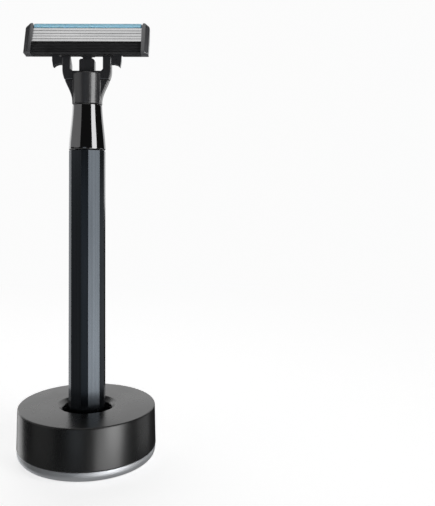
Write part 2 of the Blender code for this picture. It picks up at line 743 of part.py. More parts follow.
def make_release_button():
    edge = BUTTON_CORNER
    corners = [(-BUTTON_HALF, BUTTON_BOTTOM, edge), (BUTTON_HALF, BUTTON_BOTTOM, edge)]
    corners += [(BUTTON_HALF, BUTTON_TOP, edge), (-BUTTON_HALF, BUTTON_TOP, edge)]
    outline = rounded(corners)
    button = outline_solid("release_button", outline, BUTTON_FRONT, BUTTON_BACK, "Y", "black_plastic")
    seat = block("button_seat", (-SEAT_HALF, SEAT_FRONT, SEAT_BOTTOM),
                 (SEAT_HALF, BUTTON_FRONT + 0.4 * MM, SEAT_TOP))
    join(button, seat)
    for index in range(GROOVE_COUNT):
        middle = BUTTON_BOTTOM + GROOVE_FIRST + index * GROOVE_PITCH
        low = (-GROOVE_REACH, BUTTON_BACK - GROOVE_DEPTH, middle - GROOVE_HALF)
        high = (GROOVE_REACH, BUTTON_BACK + 1.0 * MM, middle + GROOVE_HALF)
        cut(button, block(f"button_groove_{index + 1}", low, high))
    return button


# ---------------------------------------------------------------- cartridge frame of reference

def face_point(t, v):
    """World (y, z) of a point t behind the face plane and v up it from the guard's lower edge."""
    y = FACE_FOOT_Y + v * math.sin(FACE_LEAN) + t * math.cos(FACE_LEAN)
    z = FACE_FOOT_Z + v * math.cos(FACE_LEAN) - t * math.sin(FACE_LEAN)
    return y, z


def face_outline(points):
    return [face_point(t, v) for t, v in points]


def underside(t, height):
    """The v at depth t that lies at a world height, so that the underside stays level."""
    return (height - FACE_FOOT_Z + t * math.sin(FACE_LEAN)) / math.cos(FACE_LEAN)


def face_plate(name, outline, low, high):
    """Cutter with an (x, v) outline in the face plane, between two depths t."""
    item = outline_solid(name, outline, -high, -low, "Z")
    item.data.transform(face_matrix())
    return item


def face_matrix():
    """Turns (x, v, -t) into the world."""
    up = Vector((0.0, math.sin(FACE_LEAN), math.cos(FACE_LEAN)))
    out = Vector((0.0, -math.cos(FACE_LEAN), math.sin(FACE_LEAN)))
    matrix = Matrix.Identity(4)
    for row in range(3):
        matrix[row][0] = (1.0, 0.0, 0.0)[row]
        matrix[row][1] = up[row]
        matrix[row][2] = out[row]
    matrix[1][3] = FACE_FOOT_Y
    matrix[2][3] = FACE_FOOT_Z
    return matrix


# ---------------------------------------------------------------- docking clip

def make_docking_clip():
    bar_bottom = DOCK_FLOOR + CLEAR
    half = flare_points(bar_bottom, YOKE_FLOOR + 1.5 * MM, 6) + [(FLARE_WIDE, ARM_TOP)]
    half += [(ARM_INNER, ARM_TOP), (ARM_INNER, YOKE_FLOOR + WINDOW_CHAMFER)]
    half += [(ARM_INNER - WINDOW_CHAMFER, YOKE_FLOOR)]
    outline = mirrored(half)
    clip = outline_solid("docking_clip", outline, -WEB_HALF_DEPTH, WEB_HALF_DEPTH, "Y", "black_plastic")
    bevel(clip, 0.3 * MM, angle=60.0)
    low = bar_bottom - ARM_OVERHANG
    reach = WEB_HALF_DEPTH + ARM_OVERHANG
    side = [(-reach, low), (reach, low), (reach, ARM_BACK_Z), (PIVOT_Y, ARM_PEAK_Z)]
    side += [(ARM_PEAK_FRONT, ARM_TOP), (-reach, ARM_TOP)]
    keep_inside(clip, outline_solid("arm_side", side, -CAP_OUTER, CAP_OUTER, "X"))
    for sign, label in ((-1, "left"), (1, "right")):
        join(clip, make_wing(sign, label))
    play = POCKET_PLAY
    window = block("plunger_way", (-PLUNGER_HALF - play, -PLUNGER_HALF_DEPTH - play, low),
                   (PLUNGER_HALF + play, PLUNGER_HALF_DEPTH + play, YOKE_FLOOR + 1.0 * MM))
    cut(clip, window)
    return clip


def make_wing(sign, label):
    """Web beside an arm with the rounded tab and the pin that carry the cartridge."""
    front = PIVOT_Y - TAB_RADIUS
    back = PIVOT_Y + TAB_RADIUS
    low = WING_TIP_Z - 1.0 * MM
    web_side = [(front, low), (back, low), (back, WING_BACK_Z)]
    web_side += [(PIVOT_Y, WING_MIDDLE_Z), (front, WING_FRONT_Z)]
    ends = sorted((sign * (FLARE_WIDE - WING_OVERLAP), sign * WING_OUTER))
    wing = outline_solid(f"wing_{label}", web_side, ends[0], ends[1], "X")
    tab_side = [(back, TAB_BOTTOM_Z)] + arc((PIVOT_Y, PIVOT_Z), (TAB_RADIUS, TAB_RADIUS), 0.0, 180.0, 10)
    tab_side += [(front, TAB_BOTTOM_Z)]
    ends = sorted((sign * TAB_INNER, sign * WING_OUTER))
    join(wing, outline_solid(f"tab_{label}", tab_side, ends[0], ends[1], "X"))
    inner = FLARE_WIDE - 1.0 * MM
    outer = WING_OUTER + 0.01 * MM
    above = PIVOT_Z + 4.5 * MM
    shape = [(inner, WING_EDGE_Z)] + [(x, WING_EDGE_Z - drop) for x, drop in WING_CURVE]
    shape += [(WING_TIP_X, WING_TIP_Z), (outer, WING_BACK_Z - 0.1 * MM), (outer, above), (inner, above)]
    shape = [(sign * x, z) for x, z in shape]
    keep_inside(wing, outline_solid(f"wing_shape_{label}", shape, -6.0 * MM, 6.0 * MM, "Y"))
    ends = sorted((sign * (WING_OUTER - PIN_ROOT), sign * PIN_OUTER))
    pin = arc((PIVOT_Y, PIVOT_Z), (PIN_RADIUS, PIN_RADIUS), 0.0, 345.0, 23)
    join(wing, outline_solid(f"pin_{label}", pin, ends[0], ends[1], "X"))
    return wing


# ---------------------------------------------------------------- cartridge

def make_housing():
    front = HOUSING_FRONT
    points = [(front, underside(front, UNDERSIDE_Z)), (HOUSING_DEEP, underside(HOUSING_DEEP, UNDERSIDE_Z))]
    points += [*HOUSING_BACK, (front, HOUSING_BACK[-1][1])]
    outline = face_outline(points)
    housing = outline_solid("housing", outline, -HOUSING_HALF, HOUSING_HALF, "X", "black_plastic")
    rib_back = front + RIB_ROOT
    rib_top = STRIP_LOW - CLEAR
    rib = [(RIB_FRONT, POCKET_HIGH), (rib_back, POCKET_HIGH), (rib_back, rib_top), (RIB_FRONT, rib_top)]
    join(housing, outline_solid("strip_rib", face_outline(rib), -TRIM_HALF, TRIM_HALF, "X"))
    join(housing, block("plunger_heel", HEEL_LOW, HEEL_HIGH))
    before = -1.0 * MM
    pocket = [(before, POCKET_LOW), (POCKET_DEPTH, POCKET_LOW)]
    pocket += [(POCKET_DEPTH, POCKET_HIGH), (before, POCKET_HIGH)]
    pocket_half = BLADE_HALF + CLEAR
    cut(housing, outline_solid("blade_pocket", face_outline(pocket), -pocket_half, pocket_half, "X"))
    start = POCKET_DEPTH - 0.5 * MM
    behind = 9.0 * MM
    rinse = [(start, RINSE_LOW), (behind, RINSE_LOW), (behind, RINSE_HIGH), (start, RINSE_HIGH)]
    for index, middle in enumerate(RINSE_MIDDLES):
        ends = (middle - RINSE_HALF, middle + RINSE_HALF)
        cut(housing, outline_solid(f"rinse_way_{index + 1}", face_outline(rinse), ends[0], ends[1], "X"))
    cut(housing, make_tab_notch(-1, "left"), make_tab_notch(1, "right"))
    cut(housing, make_pin_hole(-1, "left"), make_pin_hole(1, "right"))
    return housing


def make_tab_notch(sign, label):
    """Room for the clip's tab, opened towards the back for the whole swing."""
    radius = TAB_RADIUS + TAB_PLAY
    notch = [(PIVOT_Y - radius, PIVOT_Z - 4.0 * MM)]
    notch += arc((PIVOT_Y, PIVOT_Z), (radius, radius), 180.0, math.degrees(PIVOT_RANGE), 12)
    reach = 6.0 * MM
    notch += [(notch[-1][0] + reach * math.sin(PIVOT_RANGE), notch[-1][1] - reach * math.cos(PIVOT_RANGE))]
    ends = sorted((sign * (TAB_INNER - TAB_PLAY), sign * (WING_OUTER + TAB_PLAY)))
    return outline_solid(f"tab_notch_{label}", notch, ends[0], ends[1], "X")


def make_pin_hole(sign, label):
    radius = PIN_RADIUS + PIN_PLAY
    hole = arc((PIVOT_Y, PIVOT_Z), (radius, radius), 5.0, 347.0, 19)
    ends = sorted((sign * (WING_OUTER - PIN_ROOT), sign * (PIN_OUTER + TAB_PLAY)))
    return outline_solid(f"pin_hole_{label}", hole, ends[0], ends[1], "X")


def make_guard_bar():
    """Rubber guard: fins above a rounded lip, from the top down along its front."""
    back = HOUSING_FRONT - CLEAR
    pitch = (GUARD_TOP - 0.4 * MM - FIN_LOW) / GUARD_FINS
    points = [(back, underside(back, UNDERSIDE_Z)), (back, GUARD_TOP), (0.3 * MM, GUARD_TOP)]
    for index in reversed(range(GUARD_FINS)):
        base = FIN_LOW + index * pitch
        points += [(GUARD_FLOOR, base + 0.92 * pitch), (FIN_CREST, base + 0.62 * pitch)]
        points += [(FIN_CREST, base + 0.42 * pitch), (GUARD_FLOOR, base + 0.12 * pitch)]
    points += GUARD_LIP
    return outline_solid("guard_bar", face_outline(points), -TRIM_HALF, TRIM_HALF, "X", "black_rubber")


def make_lubricating_strip():
    back = HOUSING_FRONT - CLEAR
    corners = [(back, STRIP_LOW, 0.0), (-0.2 * MM, STRIP_LOW, 0.35 * MM)]
    corners += [(-0.45 * MM, STRIP_HIGH - 0.7 * MM, 0.6 * MM), (0.4 * MM, STRIP_HIGH, 0.35 * MM)]
    corners += [(back, STRIP_HIGH - 0.1 * MM, 0.0)]
    outline = face_outline(rounded(corners, 4))
    return outline_solid("lubricating_strip", outline, -TRIM_HALF, TRIM_HALF, "X", "blue_strip")


def blade_rise(index):
    return BLADE_FIRST + index * BLADE_PITCH


def make_blades():
    """Blades that sink slightly into the face, each on the bent top of its own support."""
    slope = Vector((BLADE_SINK, BLADE_REACH)).normalized()
    under = Vector((slope.y, -slope.x))
    top = under * (BLADE_THICKNESS + SUPPORT_GAP)
    low = under * (BLADE_THICKNESS + SUPPORT_GAP + SUPPORT_THICKNESS)
    pieces = []
    for index in range(BLADE_COUNT):
        edge = Vector((0.0, blade_rise(index)))
        spine = edge + Vector((BLADE_SINK, BLADE_REACH))
        ground = edge + slope * BLADE_GRIND + under * BLADE_THICKNESS
        corners = (edge, ground, spine + under * BLADE_THICKNESS, spine)
        outline = face_outline([tuple(point) for point in corners])
        blade = outline_solid(f"blade_{index + 1}", outline, -BLADE_HALF, BLADE_HALF, "X", "blade_steel")
        start = edge + slope * SUPPORT_START
        bend = spine + top
        leg = bend.y - SUPPORT_THICKNESS
        points = [start + top, bend, Vector((SUPPORT_DEPTH, bend.y)), Vector((SUPPORT_DEPTH, leg))]
        points += [Vector(((spine + low).x, leg)), start + low]
        outline = face_outline([tuple(point) for point in points])
        support = outline_solid(f"blade_support_{index + 1}", outline, -BLADE_HALF, BLADE_HALF, "X", "steel")
        pieces += [blade, support]
    return pieces


def make_cartridge_cap(sign, label):
    """Clip over the blades' ends: a hollow end piece that is open towards the back."""
    low = UNDERSIDE_Z - CAP_DROP
    toe = 0.1 * MM
    outer = [(-CAP_PROUD, 0.4 * MM), (-CAP_PROUD, 13.0 * MM), (toe, CAP_TOP), (1.75 * MM, CAP_TOP)]
    outer += [(3.6 * MM, 12.75 * MM), (CAP_BACK, 11.7 * MM), (CAP_BACK, underside(CAP_BACK, low))]
    outer += [(toe, underside(toe, low))]
    ends = sorted((sign * (TRIM_HALF + CLEAR), sign * CAP_OUTER))
    name = f"cartridge_cap_{label}"
    cap = outline_solid(name, face_outline(outer), ends[0], ends[1], "X", "cap_plastic")
    shape = [(TRIM_HALF, -1.0 * MM, 0.0), (CAP_OUTER, -0.1 * MM, 0.8 * MM)]
    shape += [(CAP_OUTER - 0.15 * MM, 11.8 * MM, 0.5 * MM), (19.1 * MM, CAP_SHOULDER, 0.5 * MM)]
    shape += [(18.5 * MM, CAP_SHOULDER, 0.3 * MM), (TRIM_HALF, 12.6 * MM, 0.0)]
    shape = [(sign * x, v) for x, v in rounded(shape)]
    keep_inside(cap, face_plate(f"cap_shape_{label}", shape, -3.0 * MM, 12.0 * MM))
    inner_low = UNDERSIDE_Z - CLEAR
    deep = 7.0 * MM
    room = [(CAP_ROOM_FRONT, underside(CAP_ROOM_FRONT, inner_low)), (CAP_ROOM_FRONT, 13.0 * MM)]
    room += [(0.25 * MM, CAP_ROOM_TOP), (1.7 * MM, CAP_ROOM_TOP), (3.45 * MM, 12.4 * MM)]
    room += [(5.5 * MM, 9.6 * MM), (deep, 9.6 * MM), (deep, underside(deep, inner_low))]
    ends = sorted((0.0, sign * (HOUSING_HALF + CLEAR)))
    cut(cap, outline_solid(f"cap_room_{label}", face_outline(room), ends[0], ends[1], "X"))
    return cap


# ---------------------------------------------------------------- joints

def add_joint(name, place, parent=None):
    empty = bpy.data.objects.new(name, None)
    empty.empty_display_size = 5.0 * MM
    PARTS.objects.link(empty)
    empty.location = place
    bpy.context.view_layer.update()
    if parent:
        hang(empty, parent)
    return empty


def hang(item, parent):
    """Parents an object without moving it."""
    item.parent = parent
    item.matrix_parent_inverse = parent.matrix_world.inverted()
    bpy.context.view_layer.update()


def build():
    make_stand()
    handle = [make_grip(), make_end_cap(), make_end_magnet(), make_core_rod(), make_grip_insert()]
    handle += [make_neck_screw(), make_collar(), make_neck()]
    plunger = make_plunger()
    spring = make_plunger_spring()
    button = make_release_button()
    clip = make_docking_clip()
    cartridge = [make_housing(), make_guard_bar(), make_lubricating_strip()]
    cartridge += [make_cartridge_cap(-1, "left"), make_cartridge_cap(1, "right")]
    cartridge += make_blades()

    lift = add_joint("lift_joint", (0.0, 0.0, END_CAP_BOTTOM))
    dock = add_joint("dock_joint", (0.0, 0.0, DOCK_FLOOR), lift)
    pivot = add_joint("pivot_joint", (0.0, PIVOT_Y, PIVOT_Z), dock)
    push = add_joint("plunger_joint", (0.0, 0.0, PLUNGER_BOTTOM), lift)
    release = add_joint("release_joint", (0.0, BUTTON_FRONT, SEAT_BOTTOM), lift)
    for item in handle + [spring]:
        hang(item, lift)
    hang(clip, dock)
    for item in cartridge:
        hang(item, pivot)
    hang(plunger, push)
    hang(button, release)


build()
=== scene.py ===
"""Cartridge razor on its round stand: the finished look of every piece, laid over the CAD frame."""

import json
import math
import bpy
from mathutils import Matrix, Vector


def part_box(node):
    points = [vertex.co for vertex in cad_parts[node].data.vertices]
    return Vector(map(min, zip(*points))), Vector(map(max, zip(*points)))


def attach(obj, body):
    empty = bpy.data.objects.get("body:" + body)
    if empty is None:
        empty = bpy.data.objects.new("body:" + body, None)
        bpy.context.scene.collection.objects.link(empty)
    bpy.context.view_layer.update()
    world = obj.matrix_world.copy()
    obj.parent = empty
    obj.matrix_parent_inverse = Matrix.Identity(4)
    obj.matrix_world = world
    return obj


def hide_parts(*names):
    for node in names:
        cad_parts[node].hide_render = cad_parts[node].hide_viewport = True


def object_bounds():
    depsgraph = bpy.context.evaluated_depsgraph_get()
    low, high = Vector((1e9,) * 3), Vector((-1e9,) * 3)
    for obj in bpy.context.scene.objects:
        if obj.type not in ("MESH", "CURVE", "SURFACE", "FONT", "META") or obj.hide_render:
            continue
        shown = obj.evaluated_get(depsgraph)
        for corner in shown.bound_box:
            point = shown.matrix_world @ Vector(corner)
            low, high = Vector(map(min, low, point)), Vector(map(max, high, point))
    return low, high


bl_info = {
    "name": "Cartridge Razor on a Round Stand",
    "version": (1, 0, 0),
    "blender": (4, 5, 0),
    "location": "View3D > Sidebar > Razor",
    "description": "Builds the finished razor, its stand and a plain studio around the packed frame",
    "category": "Object",
}

import bmesh
import bpy
from mathutils import Matrix, Vector

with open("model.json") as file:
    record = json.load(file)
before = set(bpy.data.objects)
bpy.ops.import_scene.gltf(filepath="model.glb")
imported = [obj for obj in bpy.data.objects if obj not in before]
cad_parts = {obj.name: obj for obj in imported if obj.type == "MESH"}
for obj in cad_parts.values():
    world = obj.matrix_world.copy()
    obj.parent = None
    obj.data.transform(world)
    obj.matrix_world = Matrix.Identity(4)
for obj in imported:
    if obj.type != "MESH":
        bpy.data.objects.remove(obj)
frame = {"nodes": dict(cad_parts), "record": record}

MM = 0.001
NODES = frame["nodes"]
BODY_OF = {node: body for body, nodes in frame["record"]["behaviour"]["bodies"].items() for node in nodes}
CAD_LOW, CAD_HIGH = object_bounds()


# ---------------------------------------------------------------- outlines

def ease(t):
    t = min(max(t, 0.0), 1.0)
    return t * t * (3.0 - 2.0 * t)


def rounded(corners, segments=5, closed=True):
    """Points of an outline of (a, b, radius) corners, each turned into an arc of that radius."""
    points = []
    last = len(corners) - 1
    for index, (a, b, radius) in enumerate(corners):
        here = Vector((a, b))
        if radius <= 0 or (not closed and index in (0, last)):
            points.append((a, b))
            continue
        before = (Vector(corners[index - 1][:2]) - here).normalized()
        after = (Vector(corners[(index + 1) % len(corners)][:2]) - here).normalized()
        half = before.angle(after) / 2
        centre = here + (before + after).normalized() * radius / math.sin(half)
        start = here + before * radius / math.tan(half) - centre
        turn = start.angle_signed(here + after * radius / math.tan(half) - centre)
        for step in range(segments + 1):
            angle = -turn * step / segments
            arm = Matrix.Rotation(angle, 2) @ start
            points.append((centre.x + arm.x, centre.y + arm.y))
    return points


# ---------------------------------------------------------------- meshes

def to_mesh(work, name, sharp_angle=32.0):
    """Turns a bmesh into a mesh with outward faces and smooth shading between its sharp edges."""
    bmesh.ops.remove_doubles(work, verts=work.verts, dist=0.0000005)
    bmesh.ops.recalc_face_normals(work, faces=work.faces)
    mesh = bpy.data.meshes.new(name)
    work.to_mesh(mesh)
    work.free()
    mesh.shade_smooth()
    mesh.set_sharp_from_angle(angle=math.radians(sharp_angle))
    return mesh


def together(name, first, second, sharp_angle):
    """One mesh of two that belong to the same piece."""
    work = bmesh.new()
    work.from_mesh(first)
    work.from_mesh(second)
    mesh = bpy.data.meshes.new(name)
    work.to_mesh(mesh)
    work.free()
    mesh.shade_smooth()
    mesh.set_sharp_from_angle(angle=math.radians(sharp_angle))
    return mesh


def turned(name, profile, steps=160, closed=False, sharp_angle=32.0):
    """Solid of revolution about the Z axis from (radius, height) points."""
    work = bmesh.new()
    verts = [work.verts.new((radius, 0.0, height)) for radius, height in profile]
    edges = [work.edges.new(pair) for pair in zip(verts, verts[1:])]
    if closed:
        edges.append(work.edges.new((verts[-1], verts[0])))
    bmesh.ops.spin(work, geom=verts + edges, cent=(0, 0, 0), axis=(0, 0, 1), angle=2 * math.pi,
                   steps=steps, use_merge=True)
    return to_mesh(work, name, sharp_angle)


def loft(name, rings, closed_ends=True, loop=False, sharp_angle=32.0):
    """Skin over rings of points that all have the same count."""
    work = bmesh.new()
    made = [[work.verts.new(point) for point in ring] for ring in rings]
    pairs = list(zip(made, made[1:]))
    if loop:
        pairs.append((made[-1], made[0]))
    for low, high in pairs:
        for index in range(len(low)):
            after = (index + 1) % len(low)
            work.faces.new((low[index], low[after], high[after], high[index]))
    if closed_ends and not loop:
        work.faces.new(list(reversed(made[0])))
        work.faces.new(made[-1])
    return to_mesh(work, name, sharp_angle)


def bar(name, outline, low, high, edge=0.0, segments=3, sharp_angle=32.0):
    """Bar along X with a (y, z) outline. Its ends shrink a little at the edge to round them over."""
    centre = Vector((sum(p[0] for p in outline), sum(p[1] for p in outline))) / len(outline)
    rings = []
    ends = [(low, 1), (high, -1)] if edge else [(low, 0), (high, 0)]
    for place, sign in ends:
        ring_set = []
        steps = segments if edge else 0
        for step in range(steps + 1):
            angle = math.pi / 2 * (step / steps if steps else 1.0)
            inset = edge * (1 - math.sin(angle))
            x = place + sign * edge * (1 - math.cos(angle))
            ring_set.append([(x, *inward(point, centre, inset)) for point in outline])
        rings.extend(ring_set if sign >= 0 else reversed(ring_set))
    return loft(name, rings, sharp_angle=sharp_angle)


def inward(point, centre, inset):
    arm = Vector(point) - centre
    return tuple(centre + arm * max(0.0, 1 - inset / max(arm.length, 1e-9)))


def require_unbuilt(*names):
    """Stops an operator whose pieces are there already."""
    present = [name for name in names if name in bpy.data.objects]
    if present:
        raise RuntimeError("already built: " + ", ".join(present))


def temporary(mesh):
    item = bpy.data.objects.new(mesh.name + "_work", mesh)
    bpy.context.scene.collection.objects.link(item)
    return item


def applied(item, name, sharp_angle=32.0):
    """Mesh of an object with its modifiers applied. The object is removed."""
    bpy.context.view_layer.update()
    graph = bpy.context.evaluated_depsgraph_get()
    mesh = bpy.data.meshes.new_from_object(item.evaluated_get(graph))
    mesh.name = name
    bpy.data.objects.remove(item, do_unlink=True)
    mesh.shade_smooth()
    if sharp_angle < 180:
        mesh.set_sharp_from_angle(angle=math.radians(sharp_angle))
    return mesh


def welded_copy(node):
    """Copy of a CAD node's mesh with its loose triangles merged."""
    work = bmesh.new()
    work.from_mesh(NODES[node].data)
    bmesh.ops.remove_doubles(work, verts=work.verts, dist=0.0000005)
    mesh = bpy.data.meshes.new(node + "_copy")
    work.to_mesh(mesh)
    work.free()
    return mesh


def moulded(node, name, voxel, rounds=6, keep_above=None):
    """The node's own shape with every edge softened, as it comes out of a mould."""
    item = temporary(welded_copy(node))
    remesh = item.modifiers.new("skin", "REMESH")
    remesh.mode = "VOXEL"
    remesh.voxel_size = voxel
    relax = item.modifiers.new("relax", "SMOOTH")
    relax.factor = 0.5
    relax.iterations = rounds
    mesh = applied(item, name, 180.0)
    if keep_above is not None:
        work = bmesh.new()
        work.from_mesh(mesh)
        geometry = work.verts[:] + work.edges[:] + work.faces[:]
        cut = bmesh.ops.bisect_plane(work, geom=geometry, plane_co=(0, 0, keep_above), plane_no=(0, 0, 1),
                                     clear_inner=True)
        rim = [part for part in cut["geom_cut"] if isinstance(part, bmesh.types.BMEdge)]
        bmesh.ops.holes_fill(work, edges=rim)
        work.to_mesh(mesh)
        work.free()
    return mesh


def coat_node(node, material):
    """Gives a CAD node the finish of the piece that it is or that stands for it."""
    mesh = NODES[node].data
    mesh.materials.clear()
    mesh.materials.append(material)


def add_piece(name, mesh, material, nodes, body=None):
    """Puts a finished piece in place of the CAD nodes that it stands for."""
    if not mesh.polygons:
        raise RuntimeError(f"{name} has no faces")
    mesh.materials.clear()
    mesh.materials.append(material)
    mesh.name = name
    piece = bpy.data.objects.new(name, mesh)
    bpy.context.scene.collection.objects.link(piece)
    nodes = [nodes] if isinstance(nodes, str) else list(nodes)
    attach(piece, body or BODY_OF[nodes[0]])
    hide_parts(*nodes)
    for node in nodes:
        coat_node(node, material)
    return piece


# ---------------------------------------------------------------- cartridge frame of reference

class Face:
    """The plane of the blades, measured on the CAD: t runs in behind it and v up it."""

    lean = math.radians(28.0)
    foot = (-5.0 * MM, 133.97 * MM)
    level = 134.35 * MM

    @classmethod
    def point(cls, t, v):
        y = cls.foot[0] + v * math.sin(cls.lean) + t * math.cos(cls.lean)
        z = cls.foot[1] + v * math.cos(cls.lean) - t * math.sin(cls.lean)
        return y, z

    @classmethod
    def outline(cls, points):
        return [cls.point(t, v) for t, v in points]

    @classmethod
    def level_v(cls, t, height):
        return (height - cls.foot[1] + t * math.sin(cls.lean)) / math.cos(cls.lean)


# ---------------------------------------------------------------- nodes

def add_node(tree, kind, inputs=None, **settings):
    """Adds a node with its settings, and gives each named input a value or a link."""
    node = tree.nodes.new(kind)
    for label, value in settings.items():
        setattr(node, label, value)
    for label, value in (inputs or {}).items():
        if isinstance(value, bpy.types.NodeSocket):
            tree.links.new(value, node.inputs[label])
        else:
            node.inputs[label].default_value = value
    return node


# ---------------------------------------------------------------- shader groups

def new_group(name, inputs, outputs):
    tree = bpy.data.node_groups.new(name, "ShaderNodeTree")
    for label, kind, value in inputs:
        socket = tree.interface.new_socket(label, in_out="INPUT", socket_type=kind)
        socket.default_value = value
    for label, kind in outputs:
        tree.interface.new_socket(label, in_out="OUTPUT", socket_type=kind)
    source = tree.nodes.new("NodeGroupInput")
    sink = tree.nodes.new("NodeGroupOutput")
    return tree, source.outputs, sink.inputs


def math_node(tree, operation, first, second=None, clamp=False):
    inputs = {0: first} if second is None else {0: first, 1: second}
    return add_node(tree, "ShaderNodeMath", inputs, operation=operation, use_clamp=clamp).outputs[0]


def noise_node(tree, vector, scale, detail=3.0, rough=0.55, distortion=0.0):
    inputs = {"Vector": vector, "Scale": scale, "Detail": detail}
    inputs.update({"Roughness": rough, "Distortion": distortion})
    return add_node(tree, "ShaderNodeTexNoise", inputs).outputs["Fac"]


def object_vector(tree, scale=(1, 1, 1)):
    coordinate = add_node(tree, "ShaderNodeTexCoord")
    inputs = {"Vector": coordinate.outputs["Object"], "Scale": scale}
    return add_node(tree, "ShaderNodeMapping", inputs).outputs["Vector"]


def grain_group():
    """Fine spark-eroded skin of a moulding, with a slow mottle under it."""
    tree, given, out = new_group(
        "Moulded Grain",
        [("Scale", "NodeSocketFloat", 4000.0)],
        [("Height", "NodeSocketFloat"), ("Mottle", "NodeSocketFloat")])
    vector = object_vector(tree)
    fine = noise_node(tree, vector, given["Scale"], 2.0)
    slow = noise_node(tree, vector, 240.0, 3.0)
    tree.links.new(fine, out["Height"])
    tree.links.new(slow, out["Mottle"])
    return tree


def streak_group():
    """Long fine lines along Z, as drawn or brushed metal has."""
    tree, given, out = new_group(
        "Drawn Streaks",
        [("Density", "NodeSocketFloat", 1.0)],
        [("Fine", "NodeSocketFloat"), ("Broad", "NodeSocketFloat")])
    fine_vector = object_vector(tree, (5200.0, 5200.0, 45.0))
    broad_vector = object_vector(tree, (1300.0, 1300.0, 9.0))
    fine = noise_node(tree, fine_vector, given["Density"], 2.0, 0.6)
    broad = noise_node(tree, broad_vector, given["Density"], 3.0, 0.6)
    tree.links.new(fine, out["Fine"])
    tree.links.new(broad, out["Broad"])
    return tree


def lathe_group():
    """Fine lines round the Z axis, as a lathe leaves."""
    tree, given, out = new_group(
        "Lathe Lines",
        [("Density", "NodeSocketFloat", 1.0)],
        [("Lines", "NodeSocketFloat")])
    x, y, z = add_node(tree, "ShaderNodeSeparateXYZ", {0: object_vector(tree)}).outputs
    squares = math_node(tree, "ADD", math_node(tree, "MULTIPLY", x, x), math_node(tree, "MULTIPLY", y, y))
    radius = math_node(tree, "SQRT", squares)
    angle = math_node(tree, "ARCTAN2", y, x)
    joined = add_node(tree, "ShaderNodeCombineXYZ", {
        0: math_node(tree, "MULTIPLY", radius, 9000.0),
        1: math_node(tree, "MULTIPLY", z, 9000.0),
        2: math_node(tree, "MULTIPLY", angle, 0.6)})
    tree.links.new(noise_node(tree, joined.outputs[0], given["Density"], 2.0, 0.6), out["Lines"])
    return tree


def wear_group():
    """Mask of worn edges: where a rounded normal leaves the true one, broken up by noise."""
    tree, given, out = new_group(
        "Edge Wear",
        [("Reach", "NodeSocketFloat", 0.0003), ("Amount", "NodeSocketFloat", 1.0)],
        [("Mask", "NodeSocketFloat")])
    soft = add_node(tree, "ShaderNodeBevel", {"Radius": given["Reach"]}, samples=4)
    true_normal = add_node(tree, "ShaderNodeNewGeometry").outputs["Normal"]
    dot = add_node(tree, "ShaderNodeVectorMath", {0: soft.outputs[0], 1: true_normal},
                   operation="DOT_PRODUCT")
    away = math_node(tree, "SUBTRACT", 1.0, dot.outputs["Value"])
    speckle = noise_node(tree, object_vector(tree), 1500.0, 4.0, 0.7)
    broken = math_node(tree, "MULTIPLY", math_node(tree, "MULTIPLY", away, 7.0), speckle)
    tree.links.new(math_node(tree, "MULTIPLY", broken, given["Amount"], clamp=True), out["Mask"])
    return tree


def handling_group():
    """Faint smears and dust that change the gloss from place to place."""
    tree, given, out = new_group(
        "Handling Marks",
        [("Scale", "NodeSocketFloat", 60.0)],
        [("Smear", "NodeSocketFloat"), ("Dust", "NodeSocketFloat")])
    smear = noise_node(tree, object_vector(tree, (1.0, 1.0, 0.45)), given["Scale"], 4.0, 0.6, 0.8)
    tree.links.new(smear, out["Smear"])
    dust = noise_node(tree, object_vector(tree), 5200.0, 1.0, 0.5)
    tree.links.new(math_node(tree, "MULTIPLY", math_node(tree, "SUBTRACT", dust, 0.72, clamp=True), 3.0),
                   out["Dust"])
    return tree


GROUP_MAKERS = {
    "grain": grain_group, "streaks": streak_group, "lathe": lathe_group,
    "wear": wear_group, "marks": handling_group,
}
GROUPS = {}
FINISHES = {}


def place_group(tree, kind, **values):
    if kind not in GROUPS:
        GROUPS[kind] = GROUP_MAKERS[kind]()
    return add_node(tree, "ShaderNodeGroup", values, node_tree=GROUPS[kind]).outputs


class Finish:
    """A material under construction: one Principled BSDF and the nodes that feed it."""

    def __init__(self, name, **constants):
        self.material = bpy.data.materials.new(name)
        self.material.use_nodes = True
        self.tree = self.material.node_tree
        self.shader = self.tree.nodes["Principled BSDF"]
        for label, value in constants.items():
            self.shader.inputs[label.replace("_", " ")].default_value = value

    def ramp(self, value, low, high, first, last):
        """Maps value between low and high onto two colours."""
        node = add_node(self.tree, "ShaderNodeValToRGB", {0: value})
        for element, place, colour in zip(node.color_ramp.elements, (low, high), (first, last)):
            element.position = place
            element.color = (*colour, 1.0)
        return node.outputs[0]

    def spread(self, value, first, last, low=0.3, high=0.7):
        """Maps value between low and high onto a range of numbers."""
        inputs = {"Value": value, "From Min": low, "From Max": high, "To Min": first, "To Max": last}
        return add_node(self.tree, "ShaderNodeMapRange", inputs).outputs[0]

    def mix(self, mask, first, second):
        """Lays the second colour over the first where the mask is."""
        colours = [(*value, 1.0) if isinstance(value, tuple) else value for value in (first, second)]
        node = add_node(self.tree, "ShaderNodeMix", {"Factor": mask, 6: colours[0], 7: colours[1]},
                        data_type="RGBA")
        return node.outputs[2]

    def feed(self, label, value):
        self.tree.links.new(value, self.shader.inputs[label])

    def bump(self, height, depth, strength=1.0):
        inputs = {"Height": height, "Distance": depth, "Strength": strength}
        return add_node(self.tree, "ShaderNodeBump", inputs).outputs[0]


